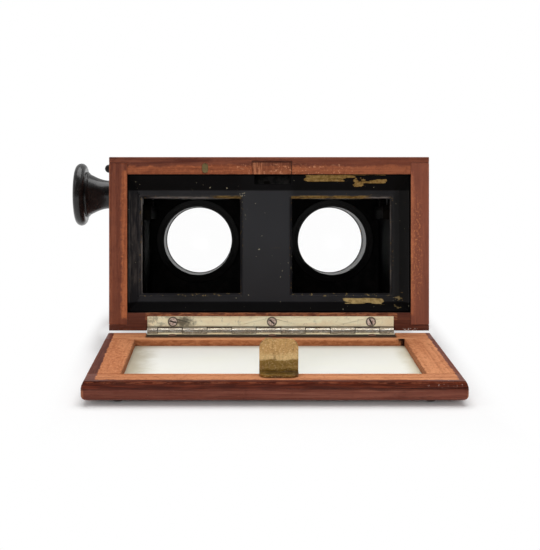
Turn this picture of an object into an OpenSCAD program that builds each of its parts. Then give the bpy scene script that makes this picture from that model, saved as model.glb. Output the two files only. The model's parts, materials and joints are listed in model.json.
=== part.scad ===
// Table stereoscope for pairs of views on one glass slide.
// A wooden box with a hinged ground-glass door, a pressed brass slide mask,
// and a lens carriage moved by a rack and pinion from a turned knob.
// Millimetres. X runs to the right as seen from the door side, Y runs from the door to the
// eyepieces, Z is up. The open door lies on the table and the box leans on its front edge.

/* [Box] */
// Outside width of the box
box_width = 130; // [122:0.5:138]
// Outside height of the box
box_height = 70.5; // [67:0.5:76]
// Length of the box along the line of sight
box_length = 75; // [72:0.5:84]
// Thickness of each side board
side_thickness = 7.4; // [6.8:0.1:8.4]
// Thickness of the top board
top_thickness = 7; // [6.6:0.1:8]
// Thickness of the bottom board
bottom_thickness = 7.3; // [7:0.1:8.4]
// Thickness of the lip by which the top and bottom boards lap over the sides
lap_thickness = 2.4; // [1.6:0.1:3.2]
// Thickness of the partition between the two light paths
septum_thickness = 2; // [1.2:0.1:3]
// Clearance hole in the partition around the focusing shaft
septum_hole = 6.4; // [5.4:0.1:8]

/* [Door] */
// Thickness of the door frame
door_thickness = 7; // [6.4:0.1:8.4]
// How far the door stands out past the box on both sides and at its free edge
door_overhang = 1; // [0.6:0.1:1.6]
// Width of the rail at the hinged edge, measured from the end face
hinge_rail_width = 10.75; // [9.8:0.05:11.4]
// Width of the rail at the free edge
free_rail_width = 10.4; // [9.6:0.05:11.4]
// Width of each stile
stile_width = 12.7; // [12:0.1:13.2]
// How far the rounded upper part of the edge draws in at the inner face
inner_draw = 0.9; // [0.5:0.1:1.2]
// Height of that rounded part
inner_round = 2.9; // [2.2:0.1:3.2]
// Radius of the arris on the outer face
outer_round = 2.2; // [1.2:0.1:2.8]
// Depth of the ground glass below the inner face
glass_depth = 2.8; // [2.5:0.05:3.2]
// Thickness of the ground glass
glass_thickness = 1.8; // [1.2:0.1:2]
// Width of the rebate that holds the glass
glass_rebate = 2.4; // [1.8:0.1:3.2]
// Width of the glazing beads on the outer face
bead_width = 2.2; // [1.6:0.1:3]
// Gap between the shut door and the box
shut_gap = 0.1; // [0.05:0.05:0.3]

/* [Door feet] */
// Height of the domed studs on the outer face
foot_height = 1.5; // [1:0.1:2.4]
// Radius of a stud at its base
foot_radius = 2.9; // [2.2:0.1:3.6]
// Distance of the studs from the sides of the door
foot_side_inset = 12; // [10:0.5:16]
// Distance of the studs from the hinged edge and from the free edge of the door
foot_inset = 6; // [5.2:0.1:7.5]

/* [Hinge] */
// Length of the hinge
hinge_length = 100; // [92:1:104]
// Sideways offset of the hinge from the middle of the box
hinge_offset = 0.6; // [-1:0.1:1]
// Length of the first knuckle
end_knuckle = 4.2; // [3:0.1:6]
// Length of each inner knuckle
knuckle_pitch = 10; // [9.4:0.1:10.1]
// Radius of the hinge barrel
barrel_radius = 1.7; // [1.5:0.05:1.9]
// Radius of the hinge pin
hinge_pin_radius = 0.62; // [0.5:0.02:0.8]
// Thickness of the hinge leaves
leaf_thickness = 1; // [0.8:0.05:1.2]
// Height of the leaf plate on the box
leaf_height = 4.3; // [4.2:0.1:5]
// Height of the lower edge of that plate above the bottom of the box
leaf_lift = 1.5; // [1.4:0.05:1.8]
// Width of the leaf plate on the inner face of the door
door_leaf_width = 4.35; // [4.2:0.05:4.6]
// Distance of the hinge axis below the bottom of the box
axis_drop = 0.45; // [0.3:0.05:0.6]
// Distance of the hinge axis in front of the inner face of the shut door
axis_ahead = 0.35; // [0.3:0.05:0.5]
// Gap around the barrel in the coves of the box and the door
cove_gap = 0.4; // [0.3:0.05:0.6]
// Gap between neighbouring knuckles
knuckle_gap = 0.15; // [0.1:0.05:0.3]
// Distance between the hinge screws
hinge_screw_pitch = 40.2; // [36:0.1:42]
// Radius of the hinge screw heads
hinge_head_radius = 1.7; // [1.3:0.05:1.9]
// Radius of the hinge screw shanks
hinge_shank_radius = 0.9; // [0.7:0.05:1.1]
// Length of the hinge screws
hinge_screw_length = 5.2; // [4:0.1:6]

/* [Slide mask] */
// Width of the seat for a glass slide 107 mm long
seat_width = 107.6; // [107.2:0.1:108.4]
// Height of the seat for a glass slide 45 mm high
seat_height = 45.8; // [45.4:0.1:46.6]
// Depth of the seat floor behind the rear face of the box
seat_depth = 7.5; // [7:0.1:9]
// Depth at which the sloping sides of the mask start
flare_depth = 3; // [2:0.1:4]
// Thickness of the brass sheet
mask_sheet = 0.8; // [0.6:0.05:1]
// Width of each window
window_width = 40.2; // [38:0.1:41.5]
// Height of each window
window_height = 38.8; // [37:0.1:40]
// Distance between the centres of the windows
window_pitch = 62; // [61:0.1:63]
// Sideways offset of the pair of windows
window_offset = -0.95; // [-1.2:0.05:1.2]
// Height of the window centres above the bottom of the box
window_lift = 34.2; // [33.6:0.1:35.4]
// Width of the turned-in edge around each window
window_bevel = 1.3; // [0.8:0.1:1.6]
// Depth of the turned-in edge
window_turn = 1.6; // [1:0.1:2.4]
// Depth of the wooden ledges behind the mask
ledge_depth = 9.7; // [9:0.1:11]

/* [Catch] */
// Left edge of the tongue, from the middle of the box
tongue_left = -5.1; // [-6:0.1:-4]
// Width of the tongue
tongue_width = 13.6; // [12:0.1:14]
// Height of the tongue above the inner face of the door
tongue_length = 12.6; // [12.4:0.1:13.4]
// Distance of the tongue from the edge of the glass opening
tongue_inset = 0.9; // [0.4:0.05:1.1]
// Thickness of the tongue
tongue_thickness = 0.8; // [0.6:0.05:1]
// Thickness of the foot plate of the tongue
tongue_foot_thickness = 1.1; // [0.9:0.05:1.2]
// Length of the foot plate of the tongue
tongue_foot_length = 5.8; // [5.4:0.1:6.4]
// Radius of the free corners of that foot plate
tongue_foot_round = 3; // [1:0.1:3.2]
// Radius of the free corners of the tongue
tongue_round = 3.2; // [2:0.1:3.4]
// Length of the lip turned over at the free end of the tongue
lip_length = 1.2; // [0.9:0.05:1.3]
// Depth of the recess in the top board for the foot plate
recess_depth = 1.6; // [1.4:0.1:2]
// Height of that recess above the ceiling
recess_height = 5.5; // [5.2:0.1:5.6]
// Gap between the lip of the shut door and the catch bar
lip_clearance = 0.3; // [0.2:0.05:0.4]
// Height of the catch bar below the top of the box
bar_drop = 4.3; // [4:0.1:4.4]
// Radius of the catch bar
bar_radius = 1.2; // [1.1:0.05:1.3]
// Travel of the button
button_travel = 1.6; // [1.5:0.05:1.7]
// Radius of the button
button_radius = 1.7; // [1.5:0.05:1.75]
// How far the button stands out when released
button_height = 2.9; // [2.5:0.1:3.2]
// Radial clearance of the catch bar in its bore
bar_clearance = 0.08; // [0.05:0.01:0.1]
// Distance of the guide pin from the middle of the box
guide_pin_offset = -26; // [-30:0.5:-20]
// Left face of the hook arm, from the middle of the box
hook_left = -11; // [-11.2:0.1:-10.8]
// Width of the hook arm
hook_width = 2; // [1.8:0.1:2.2]
// Right end of the catch, from the middle of the box
catch_right = 0.5; // [0.3:0.1:0.7]
// Width of the catch
catch_width = 2.3; // [2:0.1:2.4]
// Distance of the spring collar from the left side of the box
collar_inset = 17; // [16:0.5:20]
// Thickness of the spring collar
collar_width = 1.1; // [0.9:0.1:1.3]
// Radius of the spring collar
collar_radius = 1.9; // [1.8:0.05:1.95]
// Length of the return spring
spring_length = 6.6; // [6:0.1:7.2]

/* [Focusing] */
// Height of the focusing shaft above the bottom of the box
shaft_lift = 56.2; // [56:0.05:56.4]
// Distance of the focusing shaft from the front edges of the box
shaft_setback = 27; // [25:0.5:29]
// Radius of the focusing shaft
shaft_radius = 2; // [1.8:0.05:2.2]
// Radial running clearance of the shaft
shaft_clearance = 0.05; // [0.03:0.01:0.08]
// Outside radius of the brass shaft bushes
bush_radius = 3.4; // [3:0.1:3.8]
// Tooth module of rack and pinion
tooth_module = 1; // [0.95:0.01:1]
// Number of pinion teeth
pinion_teeth = 12; // [12:1:12]
// Play between the teeth
tooth_play = 0.14; // [0.1:0.01:0.2]
// Travel of the lens carriage each way
focus_travel = 5.5; // [4:0.1:6]
// Width of each pinion
pinion_width = 2.4; // [2:0.1:2.6]
// Height of the rack below the pitch line
rack_height = 5; // [4.4:0.1:6]
// Radius of the knob disc
knob_radius = 14; // [12:0.1:15]
// Length of the knob from the side of the box
knob_length = 20.5; // [18:0.1:22]
// Thickness of the knob disc
knob_disc = 4.8; // [4:0.1:5.6]
// Radius of the knob neck at the box
neck_radius = 6.3; // [5:0.1:7]
// Radius of the flared end of the neck
flare_radius = 9.25; // [8.4:0.05:10]

/* [Lens carriage] */
// Thickness of the lens board
board_thickness = 4; // [3.4:0.1:4.4]
// Setback of the lens board from the front edges of the box
board_setback = 1; // [0.6:0.1:1.4]
// Gap around the lens board
board_gap = 0.35; // [0.3:0.05:0.5]
// Thickness of the side cheeks
cheek_thickness = 3.8; // [3.4:0.1:4]
// Length of the side cheeks
cheek_length = 40; // [36:0.5:42]
// Height of the side cheeks
cheek_height = 43.9; // [42:0.1:44]
// Width of each runner
runner_width = 4; // [3:0.1:5]
// How far each runner stands out from the side board
runner_depth = 2; // [1.6:0.1:2]
// Sliding clearance of the runners in their grooves
runner_clearance = 0.1; // [0.05:0.01:0.15]
// Height of the runners above the bottom of the box
runner_lift = 30; // [26:0.5:34]

/* [Eyepieces] */
// Distance between the lens centres
lens_pitch = 63; // [62:0.1:65]
// Height of the lens centres above the bottom of the box
lens_lift = 34.9; // [34.5:0.1:35.4]
// Inside radius of the lens barrels
bore_radius = 16; // [15.4:0.1:16.2]
// Wall of the lens barrels
barrel_wall = 1.5; // [1.3:0.1:2]
// Length of the lens barrels
barrel_length = 20.5; // [19:0.1:22]
// Radius of the front flange of a barrel
flange_radius = 21; // [20:0.1:22]
// Outside radius of the clamping ring behind the board
nut_radius = 19.3; // [18.8:0.1:20]
// Thickness of that ring
nut_thickness = 1.5; // [1.2:0.1:2]
// Radius of each lens
lens_radius = 16.7; // [16.6:0.02:16.8]
// Depth of the lens seat behind the front end of the barrel
lens_recess = 5; // [4.8:0.1:5.4]
// Radius of curvature of the lens
lens_curve = 38.5; // [36:0.5:44]
// Thickness of the lens at its edge
lens_edge = 1.2; // [1:0.1:1.6]
// Radius of the mouth of an eyecup
cup_radius = 22; // [21:0.1:24]
// Length of an eyecup
cup_length = 20; // [18:0.5:22]

/* [Hidden] */
$fn = 72;
e = 0.01;
half = box_width / 2;
inner = half - side_thickness;
ceiling = box_height - top_thickness;
hinge_y = axis_ahead - shut_gap;
door_top = foot_height + door_thickness;
axis_height = door_top + axis_ahead;
reach = sqrt(pow(box_length - hinge_y, 2) + pow(axis_drop, 2));
lean = asin(axis_height / reach) + atan2(axis_drop, box_length - hinge_y);
door_half = half + door_overhang;
door_end = axis_drop;
door_free = axis_drop + box_height + door_overhang;
glass_near = door_end + hinge_rail_width;
glass_far = door_free - free_rail_width;
glass_half = door_half - stile_width;
glass_top = door_top - glass_depth;
glass_bottom = glass_top - glass_thickness;
hinge_left = hinge_offset - hinge_length / 2;
hinge_right = hinge_offset + hinge_length / 2;
door_leaf_end = axis_drop + leaf_lift + door_leaf_width;
first_joint = hinge_left + end_knuckle;
screw_middle = hinge_offset + 0.55;
seat_half = seat_width / 2;
seat_low = window_lift - seat_height / 2;
seat_high = window_lift + seat_height / 2;
mask_back = seat_depth + mask_sheet;
tongue_right = tongue_left + tongue_width;
tongue_face = glass_far + tongue_inset;
tongue_high = tongue_face - axis_drop;
tongue_low = tongue_high - tongue_thickness;
tongue_tip = tongue_length - shut_gap;
bar_lift = box_height - bar_drop;
hook_half = bar_radius - 0.1;
bar_depth = tongue_tip - tongue_thickness - lip_clearance - hook_half;
blade_high = tongue_low - lip_length - 0.4;
blade_low = blade_high - 1.2;
collar_left = -half + collar_inset;
spring_left = collar_left + collar_width;
spring_right = spring_left + spring_length;
shaft_depth = box_length - shaft_setback;
board_depth = box_length - board_setback - board_thickness;
pitch_radius = tooth_module * pinion_teeth / 2;
tip_radius = pitch_radius + 0.8 * tooth_module;
root_radius = pitch_radius - tooth_module;
tooth_angle = 25;
base_radius = pitch_radius * cos(tooth_angle);
rack_line = shaft_lift - pitch_radius;
rack_top = rack_line + 0.8 * tooth_module;
cheek_out = inner - 0.4;
cheek_in = cheek_out - cheek_thickness;
rack_in = cheek_in - pinion_width - 0.4;
rack_back = board_depth - cheek_length + 2;
rack_pitch = PI * tooth_module;
rack_foot = rack_pitch / 4 - tooth_play / 4 + tan(tooth_angle) * tooth_module + 0.2;
rack_first = ceil((rack_back + rack_foot - shaft_depth) / rack_pitch - 0.5);
rack_last = floor((board_depth - rack_foot - shaft_depth) / rack_pitch - 0.5);
board_front = board_depth + board_thickness;
septum_front = board_depth - nut_thickness - focus_travel - 3;
runner_front = board_depth - focus_travel - 1.5;
barrel_back = board_depth - nut_thickness;
barrel_out = bore_radius + barrel_wall;
barrel_front = barrel_back + barrel_length;
lens_seat = barrel_front - lens_recess;
lens_sag = lens_curve - sqrt(pow(lens_curve, 2) - pow(lens_radius, 2));
retainer_in = bore_radius - 0.4;
retainer_sag = lens_curve - sqrt(pow(lens_curve, 2) - pow(retainer_in, 2));
cup_back = board_front + 4;
cup_front = cup_back + cup_length;
rim_ahead = (cup_front - hinge_y) * cos(lean) + (lens_lift + cup_radius - 1 + axis_drop) * sin(lean);
shift_x = (half + knob_length - door_half) / 2;
shift_y = (door_free - rim_ahead) / 2;

// Box between two opposite corners
module slab(x0, x1, y0, y1, z0, z1) {
  translate([x0, y0, z0])
    cube([x1 - x0, y1 - y0, z1 - z0]);
}

// Round bar along X
module rod_x(x0, x1, y, z, r) {
  translate([x0, y, z])
    rotate([0, 90, 0])
      cylinder(r = r, h = x1 - x0);
}

// Round bar along Y
module rod_y(x, y0, y1, z, r) {
  translate([x, y0, z])
    rotate([-90, 0, 0])
      cylinder(r = r, h = y1 - y0);
}

// The box frame has Y = 0 at the rear face and Z = 0 at the bottom, and leans on the table
module place_box() {
  translate([shift_x, shift_y, axis_height])
    rotate([-lean, 0, 0])
      translate([0, -hinge_y, axis_drop])
        children();
}

// The door is drawn lying flat, with the hinge axis over Y = 0 and its free edge towards -Y
module place_door() {
  translate([shift_x, shift_y, 0])
    children();
}

// Turned part: profile points are [radius, distance outwards], axis along -X from the left side
module turned_left(x, y, z) {
  translate([x, y, z])
    rotate([0, -90, 0])
      rotate_extrude()
        children();
}

// Turned part with its axis along Y
module turned_back(x, y, z) {
  translate([x, y, z])
    rotate([-90, 0, 0])
      rotate_extrude()
        children();
}

// Slotted countersunk screw head and shank along +Y, head face at Y = 0
module hinge_screw(turn) {
  difference() {
    union() {
      rotate([-90, 0, 0])
        cylinder(r1 = hinge_head_radius, r2 = hinge_shank_radius, h = leaf_thickness);
      rotate([-90, 0, 0])
        cylinder(r = hinge_shank_radius, h = hinge_screw_length);
    }
    rotate([0, turn, 0])
      slab(-3, 3, -1, 0.4, -0.2, 0.2);
  }
}

// Countersunk hole for that screw
module hinge_screw_hole() {
  rotate([-90, 0, 0])
    cylinder(r1 = hinge_head_radius, r2 = hinge_shank_radius, h = leaf_thickness);
  rotate([-90, 0, 0])
    cylinder(r = hinge_shank_radius, h = hinge_screw_length + 0.1);
}

// Cylinder around the hinge axis in the box frame, with a margin at both ends
module box_cove() {
  rod_x(hinge_left - 0.3, hinge_right + 0.3, hinge_y, -axis_drop, barrel_radius + cove_gap);
}

// Bed of the hinge leaf in the rear edge of the bottom board
module leaf_bed() {
  slab(hinge_left, hinge_right, -1, leaf_thickness, 0, leaf_lift + leaf_height);
}

// Space in the top board for the catch bar, its arm and the guide pin
module bar_space() {
  rod_x(-half - 1, hook_left + 1.5, bar_depth, bar_lift, bar_radius + bar_clearance);
  slab(hook_left - 0.4, hook_left + hook_width + button_travel + 0.5,
       bar_depth - hook_half - 0.3, bar_depth + hook_half + 0.3, ceiling - 1, bar_lift + 1.6);
}

// Bore for the button at the left side
module button_bore() {
  rod_x(-half - 1, -half + 2.4, bar_depth, bar_lift, button_radius + bar_clearance);
}

module top_board() {
  color([0.55, 0.27, 0.16])
    place_box()
      difference() {
        union() {
          slab(-half, half, 0, box_length, box_height - lap_thickness, box_height);
          slab(-inner, inner, 0, box_length, ceiling, box_height - lap_thickness + e);
        }
        slab(tongue_left - 1.8, tongue_right + 0.5, -1, recess_depth, ceiling - 1, ceiling + recess_height);
        bar_space();
        button_bore();
        rod_x(collar_left - 0.5, spring_right + 0.1, bar_depth, bar_lift, collar_radius + 0.2);
        rod_y(guide_pin_offset, -1, bar_depth + 1.9, bar_lift - 0.2, 0.65);
        guide_head_space();
      }
}

// Oval sink for the head of the guide pin
module guide_head_space() {
  translate([guide_pin_offset, 0, bar_lift - 0.2])
    rotate([-90, 0, 0])
      linear_extrude(height = 2, center = true)
        oval();
}

// Oval outline 2.4 wide and 3.9 high
module oval() {
  square([2.4, 1.5], center = true);
  translate([0, 0.75])
    circle(r = 1.2);
  translate([0, -0.75])
    circle(r = 1.2);
}

module bottom_board() {
  color([0.55, 0.27, 0.16])
    place_box()
      difference() {
        union() {
          slab(-half, half, 0, box_length, 0, lap_thickness);
          slab(-inner, inner, 0, box_length, lap_thickness - e, bottom_thickness);
        }
        leaf_bed();
        box_cove();
        for (i = [-1, 0, 1])
          translate([screw_middle + i * hinge_screw_pitch, 0, leaf_lift + 2.1])
            hinge_screw_hole();
      }
}

// Side board outline, common to both sides
module side_board(x0, x1) {
  slab(x0, x1, 0, box_length, lap_thickness, box_height - lap_thickness);
}

module left_side() {
  color([0.5, 0.25, 0.15])
    place_box()
      difference() {
        side_board(-half, -inner);
        rod_x(-half - 1, -inner + 1, shaft_depth, shaft_lift, bush_radius);
        rod_x(-half - 1, -inner + 1, bar_depth, bar_lift, bar_radius + bar_clearance);
        button_bore();
      }
}

module right_side() {
  color([0.5, 0.25, 0.15])
    place_box()
      difference() {
        side_board(inner, half);
        rod_x(inner - 1, inner + 4.4, shaft_depth, shaft_lift, bush_radius);
      }
}

module septum() {
  color([0.1, 0.1, 0.1])
    place_box()
      difference() {
        union() {
          slab(-septum_thickness / 2, septum_thickness / 2, mask_back + ledge_depth, septum_front,
               bottom_thickness, ceiling);
          slab(-septum_thickness / 2, septum_thickness / 2, mask_back, mask_back + ledge_depth + e,
               seat_low + 1.5, seat_high - 1.1);
        }
        rod_x(-5, 5, shaft_depth, shaft_lift, septum_hole / 2);
      }
}

// Hollow between the wall line and the seat, with sloping sides
module flare_body() {
  hull() {
    slab(-inner + 0.5, inner - 0.5, flare_depth - 0.1, flare_depth,
         bottom_thickness + 0.5, ceiling - 0.5);
    slab(-seat_half, seat_half, seat_depth - 0.1, seat_depth, seat_low, seat_high);
  }
}

// Turned-in edge of one window: grow is the sheet thickness outside the opening
module window_form(x, grow) {
  w = window_width / 2;
  h = window_height / 2;
  hull() {
    slab(x - w - window_bevel - grow, x + w + window_bevel + grow, seat_depth - 0.1, seat_depth,
         window_lift - h - window_bevel - grow, window_lift + h + window_bevel + grow);
    slab(x - w - grow, x + w + grow, seat_depth + window_turn, seat_depth + window_turn + 0.1,
         window_lift - h - grow, window_lift + h + grow);
  }
}

module slide_mask() {
  color([0.12, 0.12, 0.12])
    place_box()
      difference() {
        union() {
          difference() {
            slab(-inner + 0.05, inner - 0.05, flare_depth, mask_back,
                 bottom_thickness + 0.05, ceiling - 0.05);
            flare_body();
          }
          window_form(window_offset - window_pitch / 2, 0.6);
          window_form(window_offset + window_pitch / 2, 0.6);
        }
        slab(-seat_half, seat_half, flare_depth - 1, seat_depth, seat_low, seat_high);
        window_form(window_offset - window_pitch / 2, 0);
        window_form(window_offset + window_pitch / 2, 0);
        slab(tongue_left - 0.7, tongue_right + 0.5, flare_depth - 1, mask_back + 1,
             tongue_low - lip_length - 0.3, ceiling);
      }
}

// Wooden ledge behind the top edge of the mask, with a pocket for the catch
module mask_ledge_top() {
  color([0.1, 0.1, 0.1])
    place_box()
      difference() {
        slab(-inner, inner, mask_back, mask_back + ledge_depth, seat_high - 1.1, ceiling);
        slab(hook_left - 0.6, tongue_right + 0.5, mask_back - 1, mask_back + ledge_depth - 2,
             blade_low - 0.3, ceiling + 1);
      }
}

module mask_ledge_bottom() {
  color([0.1, 0.1, 0.1])
    place_box()
      slab(-inner, inner, mask_back, mask_back + ledge_depth, bottom_thickness, seat_low + 1.5);
}

// One run of hinge knuckles: first is 0 for the box leaf and 1 for the door leaf
module knuckles(first, y, z) {
  for (i = [first : 2 : 10]) {
    x0 = i == 0 ? hinge_left : first_joint + (i - 1) * knuckle_pitch + knuckle_gap / 2;
    x1 = i == 10 ? hinge_right : first_joint + i * knuckle_pitch - knuckle_gap / 2;
    rod_x(x0, x1, y, z, barrel_radius);
  }
}

// Strips that join the knuckles to the box leaf
module box_leaf_strips() {
  for (i = [0 : 2 : 10]) {
    x0 = i == 0 ? hinge_left : first_joint + (i - 1) * knuckle_pitch + knuckle_gap / 2;
    x1 = i == 10 ? hinge_right : first_joint + i * knuckle_pitch - knuckle_gap / 2;
    slab(x0, x1, 0, leaf_thickness, 0.6, leaf_lift + 0.1);
  }
}

module hinge_body_leaf() {
  color([0.85, 0.8, 0.68])
    place_box()
      difference() {
        union() {
          slab(hinge_left, hinge_right, 0, leaf_thickness, leaf_lift, leaf_lift + leaf_height);
          box_leaf_strips();
          knuckles(0, hinge_y, -axis_drop);
        }
        rod_x(hinge_left - 1, hinge_right + 1, hinge_y, -axis_drop, hinge_pin_radius + 0.03);
        for (i = [-1, 0, 1])
          translate([screw_middle + i * hinge_screw_pitch, 0, leaf_lift + 2.1])
            hinge_screw_hole();
      }
}

module hinge_pin() {
  color([0.7, 0.66, 0.55])
    place_box()
      rod_x(hinge_left + 0.2, hinge_right - 0.2, hinge_y, -axis_drop, hinge_pin_radius);
}

module hinge_body_screws() {
  color([0.6, 0.56, 0.48])
    place_box()
      for (i = [-1, 0, 1])
        translate([screw_middle + i * hinge_screw_pitch, 0, leaf_lift + 2.1])
          hinge_screw(40 + 25 * i);
}

module latch_guide_pin() {
  color([0.45, 0.45, 0.33])
    place_box() {
      translate([guide_pin_offset, 0.5, bar_lift - 0.2])
        rotate([-90, 0, 0])
          linear_extrude(height = 1, center = true)
            oval();
      rod_y(guide_pin_offset, 0.8, bar_depth + 1.8, bar_lift - 0.2, 0.6);
    }
}

// Return spring of the catch bar, drawn as its closed sleeve at rest
module latch_spring() {
  color([0.6, 0.6, 0.6])
    place_box()
      difference() {
        rod_x(spring_left, spring_right, bar_depth, bar_lift, collar_radius + 0.05);
        rod_x(spring_left - 1, spring_right + 1, bar_depth, bar_lift, bar_radius + 0.2);
      }
}

module bush_left() {
  color([0.7, 0.58, 0.3])
    place_box()
      difference() {
        rod_x(-half, -inner, shaft_depth, shaft_lift, bush_radius);
        rod_x(-half - 1, -inner + 1, shaft_depth, shaft_lift, shaft_radius + shaft_clearance);
      }
}

module bush_right() {
  color([0.7, 0.58, 0.3])
    place_box()
      difference() {
        rod_x(inner, inner + 4.4, shaft_depth, shaft_lift, bush_radius);
        rod_x(inner - 1, inner + 3.4, shaft_depth, shaft_lift, shaft_radius + shaft_clearance);
      }
}

// Guide strip for one cheek: side is -1 on the left and 1 on the right
module runner(side) {
  x0 = side < 0 ? -inner : inner - runner_depth;
  color([0.45, 0.24, 0.14])
    place_box()
      slab(x0, x0 + runner_depth, mask_back + ledge_depth + 2, runner_front,
           runner_lift, runner_lift + runner_width);
}

module runner_left() {
  runner(-1);
}

module runner_right() {
  runner(1);
}

// Section of the door frame across one direction: quarter round at the outer face, and a
// flatter curve that draws in towards the inner face
module door_section(a) {
  curve = (pow(inner_round, 2) + pow(inner_draw, 2)) / (2 * inner_draw);
  translate([-a, foot_height + outer_round])
    square([2 * a, door_thickness - outer_round - inner_round]);
  translate([-a + outer_round, foot_height])
    square([2 * (a - outer_round), outer_round + e]);
  translate([-a + curve, door_top - inner_round - e])
    square([2 * (a - curve), inner_round + e]);
  for (s = [-1, 1]) {
    translate([s * (a - outer_round), foot_height + outer_round])
      circle(r = outer_round);
    intersection() {
      translate([s * (a - curve), door_top - inner_round])
        circle(r = curve);
      translate([s * (a - curve / 2) - curve / 2 - e, door_top - inner_round])
        square([curve + 2 * e, inner_round]);
    }
  }
}

// Solid outline of the whole door lying on its outer face
module door_form() {
  intersection() {
    translate([0, -door_end, 0])
      rotate([90, 0, 0])
        linear_extrude(height = door_free - door_end)
          door_section(door_half);
    translate([-door_half - 1, 0, 0])
      rotate([90, 0, 90])
        linear_extrude(height = 2 * door_half + 2)
          door_section(door_free);
  }
}

// Rebate for the ground glass and its beads, open at the outer face
module glass_bed() {
  slab(-glass_half - glass_rebate, glass_half + glass_rebate, -glass_far - glass_rebate,
       -glass_near + glass_rebate, foot_height - 1, glass_top);
}

// Cove around the hinge barrel in the door
module door_cove() {
  rod_x(hinge_left - 0.3, hinge_right + 0.3, 0, axis_height, barrel_radius + cove_gap);
}

// Positions of the hinge screws in the inner face of the door, pointing down
module door_screw_places() {
  for (i = [-1, 0, 1])
    translate([screw_middle + i * hinge_screw_pitch, -(axis_drop + leaf_lift + 2.1), door_top])
      rotate([-90, 0, 0])
        children();
}

// Bed of the hinge leaf in the inner face of the door
module door_leaf_bed() {
  slab(hinge_left, hinge_right, -door_leaf_end, -axis_drop - 0.5, door_top - leaf_thickness, door_top + 1);
}

module door_hinge_rail() {
  color([0.6, 0.3, 0.17])
    place_door()
      difference() {
        intersection() {
          door_form();
          slab(-door_half - 1, door_half + 1, -glass_near, -door_end + 1, 0, door_top + 1);
        }
        glass_bed();
        door_cove();
        door_leaf_bed();
        door_screw_places()
          hinge_screw_hole();
      }
}

// Places of the two small screws in the foot of the tongue
module tongue_screw_places() {
  for (s = [-1, 1])
    translate([(tongue_left + tongue_right) / 2 + s * 3.6, -tongue_face - 2.9, 0])
      children();
}

module door_free_rail() {
  color([0.6, 0.3, 0.17])
    place_door()
      difference() {
        intersection() {
          door_form();
          slab(-door_half - 1, door_half + 1, -door_free - 1, -glass_far, 0, door_top + 1);
        }
        glass_bed();
        tongue_screw_places()
          translate([0, 0, door_top - 3.6])
            cylinder(r = 0.6, h = 5);
      }
}

module door_left_stile() {
  color([0.58, 0.29, 0.17])
    place_door()
      difference() {
        intersection() {
          door_form();
          slab(-door_half - 1, -glass_half, -glass_far, -glass_near, 0, door_top + 1);
        }
        glass_bed();
      }
}

module door_right_stile() {
  color([0.58, 0.29, 0.17])
    place_door()
      difference() {
        intersection() {
          door_form();
          slab(glass_half, door_half + 1, -glass_far, -glass_near, 0, door_top + 1);
        }
        glass_bed();
      }
}

module ground_glass() {
  color([0.93, 0.94, 0.9])
    place_door()
      slab(-glass_half - glass_rebate + 0.2, glass_half + glass_rebate - 0.2,
           -glass_far - glass_rebate + 0.2, -glass_near + glass_rebate - 0.2,
           glass_bottom, glass_top);
}

// Four wooden beads that hold the glass from the outer face
module glazing_beads() {
  x = glass_half + glass_rebate;
  y0 = -glass_far - glass_rebate;
  y1 = -glass_near + glass_rebate;
  low = foot_height + 0.4;
  color([0.45, 0.22, 0.13])
    place_door() {
      slab(-x, x, y0, y0 + bead_width, low, glass_bottom);
      slab(-x, x, y1 - bead_width, y1, low, glass_bottom);
      slab(-x, -x + bead_width, y0 + bead_width + 0.05, y1 - bead_width - 0.05, low, glass_bottom);
      slab(x - bead_width, x, y0 + bead_width + 0.05, y1 - bead_width - 0.05, low, glass_bottom);
    }
}

module hinge_door_leaf() {
  color([0.85, 0.8, 0.68])
    place_door()
      difference() {
        union() {
          slab(hinge_left, hinge_right, -door_leaf_end, -axis_drop - leaf_lift,
               door_top - leaf_thickness, door_top);
          for (i = [1 : 2 : 9])
            slab(first_joint + (i - 1) * knuckle_pitch + knuckle_gap / 2,
                 first_joint + i * knuckle_pitch - knuckle_gap / 2,
                 -axis_drop - leaf_lift - 0.1, -axis_drop - 0.6, door_top - leaf_thickness, door_top);
          knuckles(1, 0, axis_height);
        }
        rod_x(hinge_left - 1, hinge_right + 1, 0, axis_height, hinge_pin_radius + 0.03);
        door_screw_places()
          hinge_screw_hole();
      }
}

module hinge_door_screws() {
  color([0.6, 0.56, 0.48])
    place_door()
      door_screw_places()
        hinge_screw(20);
}

// Spring tongue: foot plate on the free rail, upright blade and a lip turned to the hinge side
module spring_tongue() {
  color([0.55, 0.45, 0.22])
    place_door()
      difference() {
        union() {
          tongue_foot();
          intersection() {
            union() {
              slab(tongue_left, tongue_right, -tongue_face, -tongue_face + tongue_thickness,
                   door_top, door_top + tongue_length);
              slab(tongue_left + 2, tongue_left + 4.5,
                   -tongue_face + tongue_thickness - e, -tongue_face + tongue_thickness + lip_length,
                   door_top + tongue_length - tongue_thickness, door_top + tongue_length);
            }
            tongue_outline();
          }
        }
        tongue_screw_places()
          translate([0, 0, door_top - 1])
            cylinder(r = 0.6, h = 5);
        tongue_screw_places()
          translate([0, 0, door_top + tongue_foot_thickness - 0.5])
            cylinder(r1 = 0.6, r2 = 1.1, h = 0.5);
      }
}

// Foot plate of the tongue, flat on the free rail, with its outer corners rounded
module tongue_foot() {
  y0 = -tongue_face + tongue_thickness - tongue_foot_length;
  y1 = -tongue_face + tongue_thickness;
  z1 = door_top + tongue_foot_thickness;
  slab(tongue_left, tongue_right, y0 + tongue_foot_round, y1, door_top, z1);
  slab(tongue_left + tongue_foot_round, tongue_right - tongue_foot_round, y0, y1, door_top, z1);
  for (x = [tongue_left + tongue_foot_round, tongue_right - tongue_foot_round])
    translate([x, y0 + tongue_foot_round, door_top])
      cylinder(r = tongue_foot_round, h = tongue_foot_thickness);
}

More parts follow.
